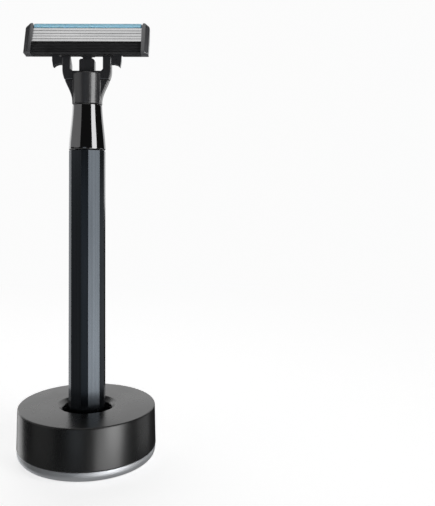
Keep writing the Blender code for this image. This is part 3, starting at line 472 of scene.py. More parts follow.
def coated_black(colour, gloss):
    """Satin black coating of the stand."""
    finish = Finish("satin_black_coating", Specular_IOR_Level=1.0)
    grain = place_group(finish.tree, "grain", Scale=2600.0)
    marks = place_group(finish.tree, "marks", Scale=55.0)
    wear = place_group(finish.tree, "wear", Reach=0.00025, Amount=0.35)
    dark = tuple(c * 0.8 for c in colour)
    base = finish.ramp(grain["Mottle"], 0.3, 0.7, dark, colour)
    finish.feed("Base Color", finish.mix(wear["Mask"], base, (0.1, 0.1, 0.105)))
    finish.feed("Roughness", finish.spread(marks["Smear"], gloss - 0.03, gloss + 0.05))
    finish.feed("Normal", finish.bump(grain["Height"], 0.000004, 0.5))
    return finish.material


def satin_silver():
    finish = Finish("satin_silver", Metallic=1.0, Anisotropic=0.45)
    lathe = place_group(finish.tree, "lathe", Density=1.0)
    marks = place_group(finish.tree, "marks", Scale=70.0)
    dark, light = (0.74, 0.76, 0.79), (0.86, 0.88, 0.91)
    finish.feed("Base Color", finish.ramp(lathe["Lines"], 0.25, 0.75, dark, light))
    finish.feed("Roughness", finish.spread(marks["Smear"], 0.44, 0.54))
    finish.feed("Normal", finish.bump(lathe["Lines"], 0.000003, 0.5))
    return finish.material


def anodised(colour, gloss):
    """Dark blue-grey metal with drawn lines along the handle."""
    finish = Finish("anodised_gunmetal", Metallic=1.0)
    streaks = place_group(finish.tree, "streaks", Density=1.0)
    marks = place_group(finish.tree, "marks", Scale=45.0)
    wear = place_group(finish.tree, "wear", Reach=0.00022, Amount=0.6)
    low = tuple(c * 0.82 for c in colour)
    high = tuple(c * 1.15 for c in colour)
    base = finish.ramp(streaks["Broad"], 0.3, 0.7, low, high)
    finish.feed("Base Color", finish.mix(wear["Mask"], base, (0.34, 0.36, 0.38)))
    finish.feed("Roughness", finish.spread(marks["Smear"], gloss - 0.04, gloss + 0.05))
    finish.feed("Normal", finish.bump(streaks["Fine"], 0.000005, 0.55))
    return finish.material


def black_chrome(colour):
    finish = Finish("black_chrome", Metallic=1.0)
    marks = place_group(finish.tree, "marks", Scale=120.0)
    finish.feed("Base Color", finish.ramp(marks["Smear"], 0.3, 0.7, tuple(c * 0.93 for c in colour), colour))
    finish.feed("Roughness", finish.spread(marks["Smear"], 0.05, 0.085))
    return finish.material


def black_plastic(name, colour, gloss, grain_depth=0.000006, level=0.5, index=1.5):
    finish = Finish(name, Specular_IOR_Level=level, IOR=index)
    grain = place_group(finish.tree, "grain", Scale=3600.0)
    marks = place_group(finish.tree, "marks", Scale=90.0)
    wear = place_group(finish.tree, "wear", Reach=0.00015, Amount=0.3)
    base = finish.ramp(grain["Mottle"], 0.3, 0.7, tuple(c * 0.75 for c in colour), colour)
    finish.feed("Base Color", finish.mix(wear["Mask"], base, tuple(c * 2.5 + 0.02 for c in colour)))
    finish.feed("Roughness", finish.spread(marks["Smear"], gloss - 0.04, gloss + 0.06))
    finish.feed("Normal", finish.bump(grain["Height"], grain_depth, 0.6))
    return finish.material


def black_rubber():
    finish = Finish("black_rubber", Specular_IOR_Level=0.4)
    grain = place_group(finish.tree, "grain", Scale=2500.0)
    marks = place_group(finish.tree, "marks", Scale=130.0)
    base = finish.ramp(grain["Mottle"], 0.3, 0.7, (0.012, 0.012, 0.013), (0.022, 0.022, 0.024))
    finish.feed("Base Color", finish.mix(marks["Dust"], base, (0.06, 0.06, 0.06)))
    finish.feed("Roughness", finish.spread(marks["Smear"], 0.52, 0.66))
    finish.feed("Normal", finish.bump(grain["Height"], 0.00001, 0.6))
    return finish.material


def ground_steel():
    """Blade steel with the grinding lines that run from spine to edge."""
    finish = Finish("ground_blade_steel", Metallic=1.0)
    vector = object_vector(finish.tree, (5200.0, 260.0, 260.0))
    lines = noise_node(finish.tree, vector, 1.0, 2.0, 0.6)
    slow = noise_node(finish.tree, object_vector(finish.tree, (60.0, 900.0, 900.0)), 1.0, 2.0, 0.5)
    finish.feed("Base Color", finish.ramp(slow, 0.3, 0.7, (0.74, 0.745, 0.75), (0.9, 0.9, 0.905)))
    finish.feed("Roughness", finish.spread(lines, 0.16, 0.3))
    finish.feed("Normal", finish.bump(lines, 0.0000012, 0.5))
    return finish.material


def plain_steel(name="machined_steel", colour=(0.56, 0.565, 0.575)):
    finish = Finish(name, Metallic=1.0)
    lathe = place_group(finish.tree, "lathe", Density=0.8)
    marks = place_group(finish.tree, "marks", Scale=110.0)
    dark = tuple(c * 0.8 for c in colour)
    finish.feed("Base Color", finish.ramp(lathe["Lines"], 0.25, 0.75, dark, colour))
    finish.feed("Roughness", finish.spread(marks["Smear"], 0.26, 0.4))
    finish.feed("Normal", finish.bump(lathe["Lines"], 0.000004, 0.6))
    return finish.material


def soap_strip(colour):
    """Waxy lubricating strip: soft, faintly streaked along its length, with fine pores."""
    finish = Finish("lubricating_strip", Specular_IOR_Level=0.35, Subsurface_Weight=0.25,
                    Subsurface_Scale=0.0006)
    finish.shader.inputs["Subsurface Radius"].default_value = (0.5, 0.8, 1.0)
    along = noise_node(finish.tree, object_vector(finish.tree, (70.0, 1500.0, 1500.0)), 1.0, 3.0, 0.6)
    pores = noise_node(finish.tree, object_vector(finish.tree, (3200.0, 4200.0, 4200.0)), 1.0, 2.0, 0.7)
    light = tuple(min(1.0, c * 1.12 + 0.01) for c in colour)
    finish.feed("Base Color", finish.ramp(along, 0.25, 0.75, tuple(c * 0.9 for c in colour), light))
    finish.feed("Roughness", finish.spread(pores, 0.42, 0.6))
    finish.feed("Normal", finish.bump(pores, 0.00002, 0.5))
    return finish.material


def finish_named(name):
    """Each finish is made once, with the colours chosen in the panel."""
    if name in FINISHES:
        return FINISHES[name]
    stand = bpy.context.scene.razor_stand
    handle = bpy.context.scene.razor_handle
    head = bpy.context.scene.razor_head
    plastic, caps = tuple(head.plastic_colour), tuple(head.cap_colour)
    makers = {
        "coating": lambda: coated_black(tuple(stand.colour), stand.gloss),
        "silver": satin_silver,
        "anodised": lambda: anodised(tuple(handle.colour), handle.gloss),
        "black_chrome": lambda: black_chrome(tuple(handle.collar_colour)),
        "plastic": lambda: black_plastic("satin_black_plastic", plastic, head.plastic_gloss),
        "neck_plastic": lambda: black_plastic("polished_black_plastic", plastic, 0.28, 0.000003, 1.0, 1.8),
        "cap_plastic": lambda: black_plastic("cap_plastic", caps, 0.28, 0.000003, 1.0, 1.75),
        "cup_plastic": lambda: black_plastic("cup_plastic", (0.012, 0.012, 0.013), 0.5),
        "rubber": black_rubber,
        "blade": ground_steel,
        "steel": plain_steel,
        "carrier": lambda: plain_steel("blade_carrier_steel", (0.42, 0.42, 0.43)),
        "strip": lambda: soap_strip(tuple(head.strip_colour)),
    }
    FINISHES[name] = makers[name]()
    return FINISHES[name]


# ---------------------------------------------------------------- geometry nodes

def geometry_tree(name, inputs):
    tree = bpy.data.node_groups.new(name, "GeometryNodeTree")
    for label, kind, value in inputs:
        socket = tree.interface.new_socket(label, in_out="INPUT", socket_type=kind)
        if value is not None:
            socket.default_value = value
    tree.interface.new_socket("Geometry", in_out="OUTPUT", socket_type="NodeSocketGeometry")
    source = tree.nodes.new("NodeGroupInput")
    sink = tree.nodes.new("NodeGroupOutput")
    return tree, source.outputs, sink.inputs["Geometry"]


def end_with_material(tree, geometry, material_socket, sink):
    """Every tree ends by making its copies real and giving them their material."""
    real = add_node(tree, "GeometryNodeRealizeInstances", {0: geometry})
    smooth = add_node(tree, "GeometryNodeSetShadeSmooth", {"Geometry": real.outputs[0]})
    coat = add_node(tree, "GeometryNodeSetMaterial", {
        "Geometry": smooth.outputs[0], "Material": material_socket})
    tree.links.new(coat.outputs[0], sink)


def grown(tree, name, values):
    """Runs a tree on an empty mesh and returns the plain mesh that it makes."""
    item = temporary(bpy.data.meshes.new(name))
    growth = item.modifiers.new("growth", "NODES")
    growth.node_group = tree
    for socket in tree.interface.items_tree:
        if socket.in_out == "INPUT" and socket.name in values:
            growth[socket.identifier] = values[socket.name]
    return applied(item, name, 40.0)


def ridge_tree():
    """Row of long rounded ridges along X, stepped by an offset and leaned about X."""
    tree, given, sink = geometry_tree("Ridge Rows", [
        ("Count", "NodeSocketInt", 6), ("Start", "NodeSocketVector", (0, 0, 0)),
        ("Step", "NodeSocketVector", (0, 0, 0.0006)), ("Length", "NodeSocketFloat", 0.036),
        ("Half Width", "NodeSocketFloat", 0.0002), ("Half Height", "NodeSocketFloat", 0.0003),
        ("Lean", "NodeSocketFloat", 0.0), ("Material", "NodeSocketMaterial", None)])
    rod = add_node(tree, "GeometryNodeMeshCylinder", {"Vertices": 14, "Radius": 1.0, "Depth": 1.0})
    size = add_node(tree, "ShaderNodeCombineXYZ", {
        0: given["Half Width"], 1: given["Half Height"], 2: given["Length"]})
    lay = add_node(tree, "GeometryNodeTransform", {
        "Geometry": rod.outputs["Mesh"], "Scale": size.outputs[0], "Rotation": (0.0, math.pi / 2, 0.0)})
    tilt = add_node(tree, "ShaderNodeCombineXYZ", {0: given["Lean"]})
    lean = add_node(tree, "GeometryNodeTransform", {"Geometry": lay.outputs[0], "Rotation": tilt.outputs[0]})
    row = add_node(tree, "GeometryNodeMeshLine", {
        "Count": given["Count"], "Start Location": given["Start"], "Offset": given["Step"]})
    copies = add_node(tree, "GeometryNodeInstanceOnPoints", {
        "Points": row.outputs[0], "Instance": lean.outputs[0]})
    end_with_material(tree, copies.outputs[0], given["Material"], sink)
    return tree


def nub_tree():
    """Round field of low domes, for the underside of the rubber pad."""
    tree, given, sink = geometry_tree("Nub Field", [
        ("Radius", "NodeSocketFloat", 0.018), ("Across", "NodeSocketInt", 25),
        ("Nub Radius", "NodeSocketFloat", 0.0005), ("Nub Height", "NodeSocketFloat", 0.0003),
        ("Level", "NodeSocketFloat", 0.0003), ("Material", "NodeSocketMaterial", None)])
    width = math_node(tree, "MULTIPLY", given["Radius"], 2.0)
    grid = add_node(tree, "GeometryNodeMeshGrid", {
        "Size X": width, "Size Y": width, "Vertices X": given["Across"], "Vertices Y": given["Across"]})
    place = add_node(tree, "GeometryNodeInputPosition")
    length = add_node(tree, "ShaderNodeVectorMath", {0: place.outputs[0]}, operation="LENGTH")
    outside = add_node(tree, "FunctionNodeCompare", {"A": length.outputs["Value"], "B": given["Radius"]},
                       data_type="FLOAT", operation="GREATER_THAN")
    prune = add_node(tree, "GeometryNodeDeleteGeometry", {
        "Geometry": grid.outputs["Mesh"], "Selection": outside.outputs[0]})
    dome = add_node(tree, "GeometryNodeMeshUVSphere", {"Segments": 12, "Rings": 8, "Radius": 1.0})
    size = add_node(tree, "ShaderNodeCombineXYZ", {
        0: given["Nub Radius"], 1: given["Nub Radius"], 2: given["Nub Height"]})
    copies = add_node(tree, "GeometryNodeInstanceOnPoints", {
        "Points": prune.outputs[0], "Instance": dome.outputs["Mesh"], "Scale": size.outputs[0]})
    level = add_node(tree, "ShaderNodeCombineXYZ", {2: given["Level"]})
    lifted = add_node(tree, "GeometryNodeTransform", {
        "Geometry": copies.outputs[0], "Translation": level.outputs[0]})
    end_with_material(tree, lifted.outputs[0], given["Material"], sink)
    return tree


# ---------------------------------------------------------------- settings

class StandSettings(bpy.types.PropertyGroup):
    edge: bpy.props.FloatProperty(
        name="Top Edge", description="Radius of the rounded edge round the stand's top",
        default=0.55 * MM, min=0.1 * MM, max=1.5 * MM, unit="LENGTH", precision=5)
    colour: bpy.props.FloatVectorProperty(
        name="Coating", description="Colour of the stand's satin coating",
        default=(0.006, 0.0064, 0.0066), min=0.0, max=1.0, subtype="COLOR")
    gloss: bpy.props.FloatProperty(
        name="Roughness", description="Roughness of the stand's coating",
        default=0.27, min=0.05, max=0.8, subtype="FACTOR")


class HandleSettings(bpy.types.PropertyGroup):
    corner: bpy.props.FloatProperty(
        name="Facet Corner", description="Radius of the softened corners between the grip's flats",
        default=0.3 * MM, min=0.05 * MM, max=0.8 * MM, unit="LENGTH", precision=5)
    colour: bpy.props.FloatVectorProperty(
        name="Grip", description="Colour of the anodised grip",
        default=(0.075, 0.085, 0.096), min=0.0, max=1.0, subtype="COLOR")
    gloss: bpy.props.FloatProperty(
        name="Roughness", description="Roughness of the grip",
        default=0.26, min=0.05, max=0.8, subtype="FACTOR")
    collar_colour: bpy.props.FloatVectorProperty(
        name="Collar", description="Colour of the collar's black plating",
        default=(0.3, 0.3, 0.305), min=0.0, max=1.0, subtype="COLOR")


class HeadSettings(bpy.types.PropertyGroup):
    plastic_colour: bpy.props.FloatVectorProperty(
        name="Plastic", description="Colour of the neck, the clip and the housing",
        default=(0.014, 0.014, 0.016), min=0.0, max=1.0, subtype="COLOR")
    plastic_gloss: bpy.props.FloatProperty(
        name="Roughness", description="Roughness of the black mouldings",
        default=0.34, min=0.05, max=0.9, subtype="FACTOR")
    cap_colour: bpy.props.FloatVectorProperty(
        name="Caps", description="Colour of the caps at the blades' ends",
        default=(0.055, 0.055, 0.06), min=0.0, max=1.0, subtype="COLOR")
    strip_colour: bpy.props.FloatVectorProperty(
        name="Strip", description="Colour of the lubricating strip",
        default=(0.36, 0.66, 0.82), min=0.0, max=1.0, subtype="COLOR")
    fins: bpy.props.IntProperty(
        name="Guard Fins", description="Number of fins on the rubber guard", default=6, min=3, max=9)


class StudioSettings(bpy.types.PropertyGroup):
    key: bpy.props.FloatProperty(
        name="Key Light", description="Brightness of the tall light at the right", default=2.4, min=0.0)
    top: bpy.props.FloatProperty(
        name="Top Light", description="Brightness of the light overhead", default=0.72, min=0.0)
    focal_length: bpy.props.FloatProperty(
        name="Focal Length", description="Focal length of the camera in millimetres",
        default=43.9, min=20.0, max=200.0, subtype="DISTANCE_CAMERA")


# ---------------------------------------------------------------- stand

def make_stand_shell(settings):
    low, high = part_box("stand_shell")
    top_radius, base_radius = 22.9 * MM, high.x
    well, lip, lip_depth = 8.1 * MM, 10.0 * MM, 1.3 * MM
    ceiling = high.z - 2.25 * MM
    inner = top_radius - 2.0 * MM
    corners = [(top_radius, high.z, settings.edge), (base_radius, low.z, 0.25 * MM)]
    corners += [(inner, low.z, 0.2 * MM), (inner, ceiling, 0.4 * MM), (well, ceiling, 0.0)]
    corners += [(well, high.z - lip_depth, 1.1 * MM)]
    corners += [(lip - 0.2 * MM, high.z, 0.9 * MM)]
    mesh = turned("stand_body", rounded(corners, 8), steps=256, closed=True, sharp_angle=50.0)
    return add_piece("stand_body", mesh, finish_named("coating"), "stand_shell")


def make_foot_ring():
    low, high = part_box("foot_ring")
    outer = high.x
    corners = [(outer, high.z, 0.22 * MM), (outer, low.z, 2.4 * MM), (20.3 * MM, low.z, 0.1 * MM)]
    corners += [(20.3 * MM, 3.05 * MM, 0.0), (17.5 * MM, 3.05 * MM, 0.0), (17.5 * MM, high.z, 0.0)]
    mesh = turned("silver_foot_ring", rounded(corners, 8), steps=256, closed=True, sharp_angle=50.0)
    return add_piece("silver_foot_ring", mesh, finish_named("silver"), "foot_ring")


def make_socket():
    low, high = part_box("socket_cup")
    floor, guide, well = 5.15 * MM, 6.62 * MM, 8.1 * MM
    corners = [(0.0, floor, 0.0), (guide, floor, 0.25 * MM), (guide, 11.5 * MM, 1.0 * MM)]
    corners += [(well, 13.0 * MM, 0.8 * MM), (well, high.z, 0.1 * MM), (high.x, high.z, 0.2 * MM)]
    corners += [(high.x, low.z, 0.3 * MM), (0.0, low.z, 0.0)]
    mesh = turned("socket_liner", rounded(corners, 5, closed=False), steps=128, sharp_angle=50.0)
    return add_piece("socket_liner", mesh, finish_named("cup_plastic"), "socket_cup")


def make_pad():
    low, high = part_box("base_pad")
    nub = 0.28 * MM
    corners = [(0.0, high.z, 0.0), (high.x, high.z, 0.1 * MM), (high.x, low.z + nub, 0.2 * MM)]
    corners += [(0.0, low.z + nub, 0.0)]
    disc = turned("pad_disc", rounded(corners, 4, closed=False), steps=128)
    rubber = finish_named("rubber")
    nubs = grown(nub_tree(), "pad_nubs", {
        "Radius": high.x - 1.2 * MM, "Across": 27, "Nub Radius": 0.5 * MM, "Nub Height": nub,
        "Level": low.z + nub, "Material": rubber})
    mesh = together("rubber_pad", disc, nubs, 50.0)
    return add_piece("rubber_pad", mesh, rubber, "base_pad")


class RAZOR_OT_stand(bpy.types.Operator):
    """Builds the round stand: body, silver foot ring, socket liner and rubber pad"""

    bl_idname = "razor.stand"
    bl_label = "Round Stand"
    bl_options = {"REGISTER", "UNDO"}

    def execute(self, context):
        require_unbuilt("stand_body", "silver_foot_ring", "socket_liner", "rubber_pad")
        make_stand_shell(context.scene.razor_stand)
        make_foot_ring()
        make_socket()
        make_pad()
        coat_node("base_plate", finish_named("cup_plastic"))
        for node in ("stand_weight", "stand_magnet", "base_screw_1", "base_screw_2", "base_screw_3"):
            coat_node(node, finish_named("steel"))
        return {"FINISHED"}


# ---------------------------------------------------------------- handle

def facet_ring(radius, height, corner, per_corner=4):
    """The grip's section: six wide flats with six narrow ones, all corners softened."""
    wide = math.radians(38.0) / 2
    corners = []
    for index in range(6):
        for offset in (-wide, wide):
            angle = math.radians(60.0 * index) + offset
            corners.append((radius * math.cos(angle), radius * math.sin(angle), corner))
    return [(x, y, height) for x, y in rounded(corners, per_corner)]


def make_grip(settings):
    low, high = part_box("grip")
    wide_flat = math.cos(math.radians(19.0))
    base = high.x / wide_flat
    tip = base * 6.2 / 6.3
    edge = 0.18 * MM
    bore = 4.15 * MM
    rings = []
    for share in (0.0, 0.35, 1.0):
        rings.append(facet_ring(base - edge * (1 - share), low.z + edge * share, settings.corner))
    for share in (1.0, 0.35, 0.0):
        rings.append(facet_ring(tip - edge * (1 - share), high.z - edge * share, settings.corner))
    angles = [math.atan2(point[1], point[0]) for point in rings[0]]
    rings.append([(bore * math.cos(a), bore * math.sin(a), high.z) for a in angles])
    rings.append([(bore * math.cos(a), bore * math.sin(a), low.z) for a in angles])
    mesh = loft("faceted_grip", rings, loop=True, sharp_angle=40.0)
    return add_piece("faceted_grip", mesh, finish_named("anodised"), "grip")


def make_handle_end(settings):
    low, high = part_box("end_cap")
    radius = 6.3 * MM
    chamfer = 0.6 * MM
    top = 7.9 * MM
    pocket, pocket_top = 3.05 * MM, 6.9 * MM
    rings = [facet_ring(radius - chamfer, low.z, settings.corner)]
    rings.append(facet_ring(radius - 0.1 * MM, low.z + chamfer * 0.9, settings.corner))
    rings.append(facet_ring(radius, low.z + chamfer * 1.2, settings.corner))
    rings.append(facet_ring(radius, top, settings.corner))
    angles = [math.atan2(point[1], point[0]) for point in rings[0]]

    def circle(size, height):
        return [(size * math.cos(a), size * math.sin(a), height) for a in angles]

    rings += [circle(4.05 * MM, top), circle(4.05 * MM, high.z), circle(pocket * 0.5, high.z)]
    rings += [circle(pocket * 0.5, pocket_top), circle(pocket, pocket_top), circle(pocket, low.z)]
    mesh = loft("handle_end", rings, loop=True, sharp_angle=40.0)
    return add_piece("handle_end", mesh, finish_named("plastic"), "end_cap")


def make_collar():
    low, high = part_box("collar")
    top_radius, base_radius = 4.96 * MM, high.x
    count = 26
    edge = 0.28 * MM
    side = []
    for index in range(count + 1):
        share = index / count
        blend = 0.35 * share + 0.65 * ease(share)
        height = high.z - edge - (high.z - low.z - 2 * edge) * share
        side.append((top_radius + (base_radius - top_radius) * blend, height))
    bore = 3.1 * MM
    profile = []
    for step in range(6):
        angle = math.pi / 2 * (1 - step / 5)
        profile.append((top_radius - edge * (1 - math.cos(angle)), high.z - edge + edge * math.sin(angle)))
    profile += side[1:-1]
    for step in range(6):
        angle = math.pi / 2 * step / 5
        profile.append((base_radius - edge * (1 - math.cos(angle)), low.z + edge - edge * math.sin(angle)))
    profile += [(bore, low.z), (bore, high.z)]
    mesh = turned("flared_collar", profile, steps=256, closed=True, sharp_angle=50.0)
    return add_piece("flared_collar", mesh, finish_named("black_chrome"), "collar")


class RAZOR_OT_handle(bpy.types.Operator):
    """Builds the handle: faceted grip, its end and the flared collar"""

    bl_idname = "razor.handle"
    bl_label = "Handle"
    bl_options = {"REGISTER", "UNDO"}

    def execute(self, context):
        require_unbuilt("faceted_grip", "handle_end", "flared_collar")
        settings = context.scene.razor_handle
        make_grip(settings)
        make_handle_end(settings)
        make_collar()
        for node in ("end_magnet", "core_rod", "grip_insert", "neck_screw"):
            coat_node(node, finish_named("steel"))
        return {"FINISHED"}


# ---------------------------------------------------------------- neck and mechanism

class RAZOR_OT_neck(bpy.types.Operator):
    """Builds the neck, the docking clip, the plunger and the release button"""

    bl_idname = "razor.neck"
    bl_label = "Neck and Clip"
    bl_options = {"REGISTER", "UNDO"}

    def execute(self, context):
        require_unbuilt("moulded_neck", "docking_yoke", "pusher", "thumb_button")
        plastic = finish_named("neck_plastic")
        collar_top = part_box("collar")[1].z
        neck = moulded("neck", "moulded_neck", 0.13 * MM, 2, keep_above=collar_top - 1.0 * MM)
        add_piece("moulded_neck", neck, plastic, "neck")
        yoke = moulded("docking_clip", "docking_yoke", 0.09 * MM, 3)
        add_piece("docking_yoke", yoke, plastic, "docking_clip")
        add_piece("pusher", moulded("plunger", "pusher", 0.08 * MM, 4), plastic, "plunger")
        button = moulded("release_button", "thumb_button", 0.08 * MM, 4)
        add_piece("thumb_button", button, plastic, "release_button")
        coat_node("plunger_spring", finish_named("steel"))
        return {"FINISHED"}


# ---------------------------------------------------------------- cartridge

def make_housing():
    mesh = moulded("housing", "blade_housing", 0.16 * MM, 3)
    return add_piece("blade_housing", mesh, finish_named("plastic"), "housing")


def make_guard(settings):
    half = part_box("guard_bar")[1].x
    back, foot, top = 1.2 * MM, 1.0 * MM, 5.2 * MM
    corners = [(back, Face.level_v(back, Face.level), 0.0), (back, top, 0.0), (0.28 * MM, top, 0.2 * MM)]
    corners += [(0.32 * MM, foot, 0.15 * MM), (-0.1 * MM, 0.7 * MM, 0.15 * MM)]
    corners += [(-0.1 * MM, 0.1 * MM, 0.15 * MM)]
    corners += [(0.25 * MM, 0.12 * MM, 0.1 * MM)]
    core = bar("guard_core", Face.outline(rounded(corners, 4)), -half, half, sharp_angle=35.0)
    pitch = (top - foot - 0.3 * MM) / settings.fins
    first = Face.point(0.3 * MM, foot + 0.65 * pitch)
    step = Vector((0.0, *Face.point(0, pitch))) - Vector((0.0, *Face.point(0, 0)))
    rubber = finish_named("rubber")
    fins = grown(ridge_tree(), "guard_fins", {
        "Count": settings.fins, "Start": (0.0, *first), "Step": tuple(step), "Length": 2 * half,
        "Half Width": 0.19 * MM, "Half Height": 0.34 * MM, "Lean": -Face.lean, "Material": rubber})
    mesh = together("finned_guard", core, fins, 35.0)
    return add_piece("finned_guard", mesh, rubber, "guard_bar")


def make_strip():
    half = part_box("lubricating_strip")[1].x
    bottom, top, back = 11.52 * MM, 13.4 * MM, 1.2 * MM
    corners = [(back, bottom, 0.0), (-0.2 * MM, bottom, 0.3 * MM), (-0.42 * MM, top - 0.8 * MM, 0.9 * MM)]
    corners += [(0.35 * MM, top, 0.4 * MM), (back, top - 0.1 * MM, 0.0)]
    outline = Face.outline(rounded(corners, 8))
    mesh = bar("blue_strip", outline, -half, half, 0.12 * MM, sharp_angle=40.0)
    return add_piece("blue_strip", mesh, finish_named("strip"), "lubricating_strip")


def cap_section(front, top, bottom, back, segments=5):
    """Section of an end cap in (t, v): flat front, sloped top, level underside."""
    corners = [(front, 0.35 * MM + bottom, 0.3 * MM), (front, top - 0.8 * MM, 0.55 * MM)]
    corners += [(0.35 * MM, top, 0.35 * MM), (1.75 * MM, top, 0.5 * MM)]
    toe = 0.2 * MM
    under = Face.level - 0.3 * MM
    corners += [(back, top - 2.1 * MM, 0.3 * MM), (back, Face.level_v(back, under), 0.3 * MM)]
    corners += [(toe, Face.level_v(toe, under) + bottom, 0.25 * MM)]
    return Face.outline(rounded(corners, segments))


def make_cap(sign, label):
    """End cap: flat inner band, then a front that falls away to a rounded outer end."""
    node = f"cartridge_cap_{label}"
    inner, outer = 18.2 * MM, 21.05 * MM
    stations = []
    count = 16
    for index in range(count + 1):
        share = index / count
        x = inner + (outer - inner) * share
        rim = max(0.0, (x - 20.55 * MM) / (0.5 * MM))
        rim_drop = 0.5 * MM * (1 - math.sqrt(max(0.0, 1 - min(rim, 1.0) ** 2)))
        fall = 0.55 * MM * ease((x - 19.3 * MM) / (1.5 * MM))
        shoulder = max(0.0, x - 19.2 * MM)
        top = 13.72 * MM - shoulder * 0.98 - rim_drop
        top -= 1.0 * MM * (1 - ease((x - inner) / (0.55 * MM)))
        bottom = rim_drop * 1.3
        stations.append((x, -0.5 * MM + fall + rim_drop * 0.8, top, bottom))
    rings = []
    for x, front, top, bottom in stations:
        ring = []
        for y, z in cap_section(front, top, bottom, 4.35 * MM):
            taper = 0.45 * MM * (x - inner) / (outer - inner) * (CAD_HIGH.z - z) / (12.0 * MM)
            ring.append((sign * (x - taper), y, z))
        rings.append(ring)
    mesh = loft(node, rings, sharp_angle=40.0)
    return add_piece(f"end_cap_{label}", mesh, finish_named("cap_plastic"), node)


BLADE_COUNT = 5
BLADE_FIRST = 5.36 * MM   # height v of the lowest blade's edge
BLADE_PITCH = 1.17 * MM


def make_blade(index):
    """Thin blade leaning into the face, with its ground edge as a separate facet."""
    node = f"blade_{index + 1}"
    low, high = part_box(node)
    rise = BLADE_FIRST + index * BLADE_PITCH
    reach, sink, thick = 1.15 * MM, 0.1 * MM, 0.1 * MM
    slope = Vector((sink, reach)).normalized()
    under = Vector((slope.y, -slope.x))
    edge = Vector((0.0, rise))
    grind = edge + slope * 0.3 * MM
    spine = edge + Vector((sink, reach))
    points = [edge, edge + slope * 0.2 * MM + under * 0.07 * MM, grind + under * thick]
    points += [spine + under * thick, spine, grind - under * 0.012 * MM]
    outline = Face.outline([tuple(point) for point in points])
    mesh = bar(node, outline, low.x, high.x, sharp_angle=8.0)
    return add_piece(f"ground_{node}", mesh, finish_named("blade"), node)


def make_carrier(index):
    node = f"blade_support_{index + 1}"
    low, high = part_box(node)
    rise = BLADE_FIRST + index * BLADE_PITCH
    reach, sink, thick, deep = 1.06 * MM, 0.12 * MM, 0.16 * MM, 2.75 * MM
    slope = Vector((sink, reach)).normalized()
    under = Vector((slope.y, -slope.x))
    edge = Vector((0.0, rise))
    top = under * 0.13 * MM
    bend = edge + Vector((sink, reach)) + top
    start = edge + slope * 0.35 * MM
    corners = [(*(start + top), 0.0), (bend.x, bend.y, 0.2 * MM), (deep, bend.y, 0.0)]
    corners += [(deep, bend.y - thick, 0.0)]
    inner = edge + Vector((sink, reach)) + under * (0.13 * MM + thick)
    corners += [(inner.x, bend.y - thick, 0.1 * MM), (*(start + top + under * thick), 0.0)]
    mesh = bar(node, Face.outline(rounded(corners, 4)), low.x, high.x)
    return add_piece(f"bent_carrier_{index + 1}", mesh, finish_named("carrier"), node)


class RAZOR_OT_cartridge(bpy.types.Operator):
    """Builds the cartridge: housing, finned guard, blades on their carriers, strip and end caps"""

    bl_idname = "razor.cartridge"
    bl_label = "Cartridge"
    bl_options = {"REGISTER", "UNDO"}

    def execute(self, context):
        require_unbuilt("blade_housing", "end_cap_left", "end_cap_right")
        settings = context.scene.razor_head
        make_housing()
        make_guard(settings)
        make_strip()
        make_cap(-1, "left")
        make_cap(1, "right")
        for index in range(BLADE_COUNT):
            make_blade(index)
            make_carrier(index)
        return {"FINISHED"}


# ---------------------------------------------------------------- studio

def bearing(angle, distance, height):
    """Place at an angle from the front (-Y) towards +X."""
    turn = math.radians(angle)
    return Vector((distance * math.sin(turn), -distance * math.cos(turn), height))


def add_panel_light(name, place, aim, width, height, radiance, colour=(1, 1, 1)):
    """Soft rectangular light whose brightness is given per unit of area."""
    light = bpy.data.lights.new(name, "AREA")
    light.shape = "RECTANGLE"
    light.size = width
    light.size_y = height
    light.energy = radiance * math.pi * width * height
    light.color = colour
    item = bpy.data.objects.new(name, light)
    bpy.context.scene.collection.objects.link(item)
    item.location = place
    item.rotation_euler = (Vector(aim) - Vector(place)).to_track_quat("-Z", "Y").to_euler()
    item.visible_camera = False
    return item


BACKGROUND = (0.97, 0.97, 0.97, 1.0)


def floor_material():
    """Pale matt surface with a little glow of its own, so that it stays even to its edges."""
    material = bpy.data.materials.new("pale_floor")
    material.use_nodes = True
    tree = material.node_tree
    shader = tree.nodes["Principled BSDF"]
    surface = {"Base Color": (0.8, 0.8, 0.8, 1.0), "Roughness": 0.9, "Specular IOR Level": 0.1,
               "Emission Color": (1.0, 1.0, 1.0, 1.0), "Emission Strength": 0.68}
    for label, value in surface.items():
        shader.inputs[label].default_value = value
    length = add_node(tree, "ShaderNodeVectorMath", {0: object_vector(tree)}, operation="LENGTH")
    far = add_node(tree, "ShaderNodeMapRange", {
        "Value": length.outputs["Value"], "From Min": 0.06, "From Max": 0.4})
    far.interpolation_type = "SMOOTHSTEP"
    white = add_node(tree, "ShaderNodeEmission", {"Color": BACKGROUND})
    mix = add_node(tree, "ShaderNodeMixShader", {
        0: far.outputs[0], 1: shader.outputs[0], 2: white.outputs[0]})
    tree.links.new(mix.outputs[0], tree.nodes["Material Output"].inputs["Surface"])
    return material


def add_sheet(name, corners, material):
    work = bmesh.new()
    work.faces.new([work.verts.new(corner) for corner in corners])
    mesh = bpy.data.meshes.new(name)
    work.to_mesh(mesh)
    work.free()
    mesh.materials.append(material)
    item = bpy.data.objects.new(name, mesh)
    bpy.context.scene.collection.objects.link(item)
    return item


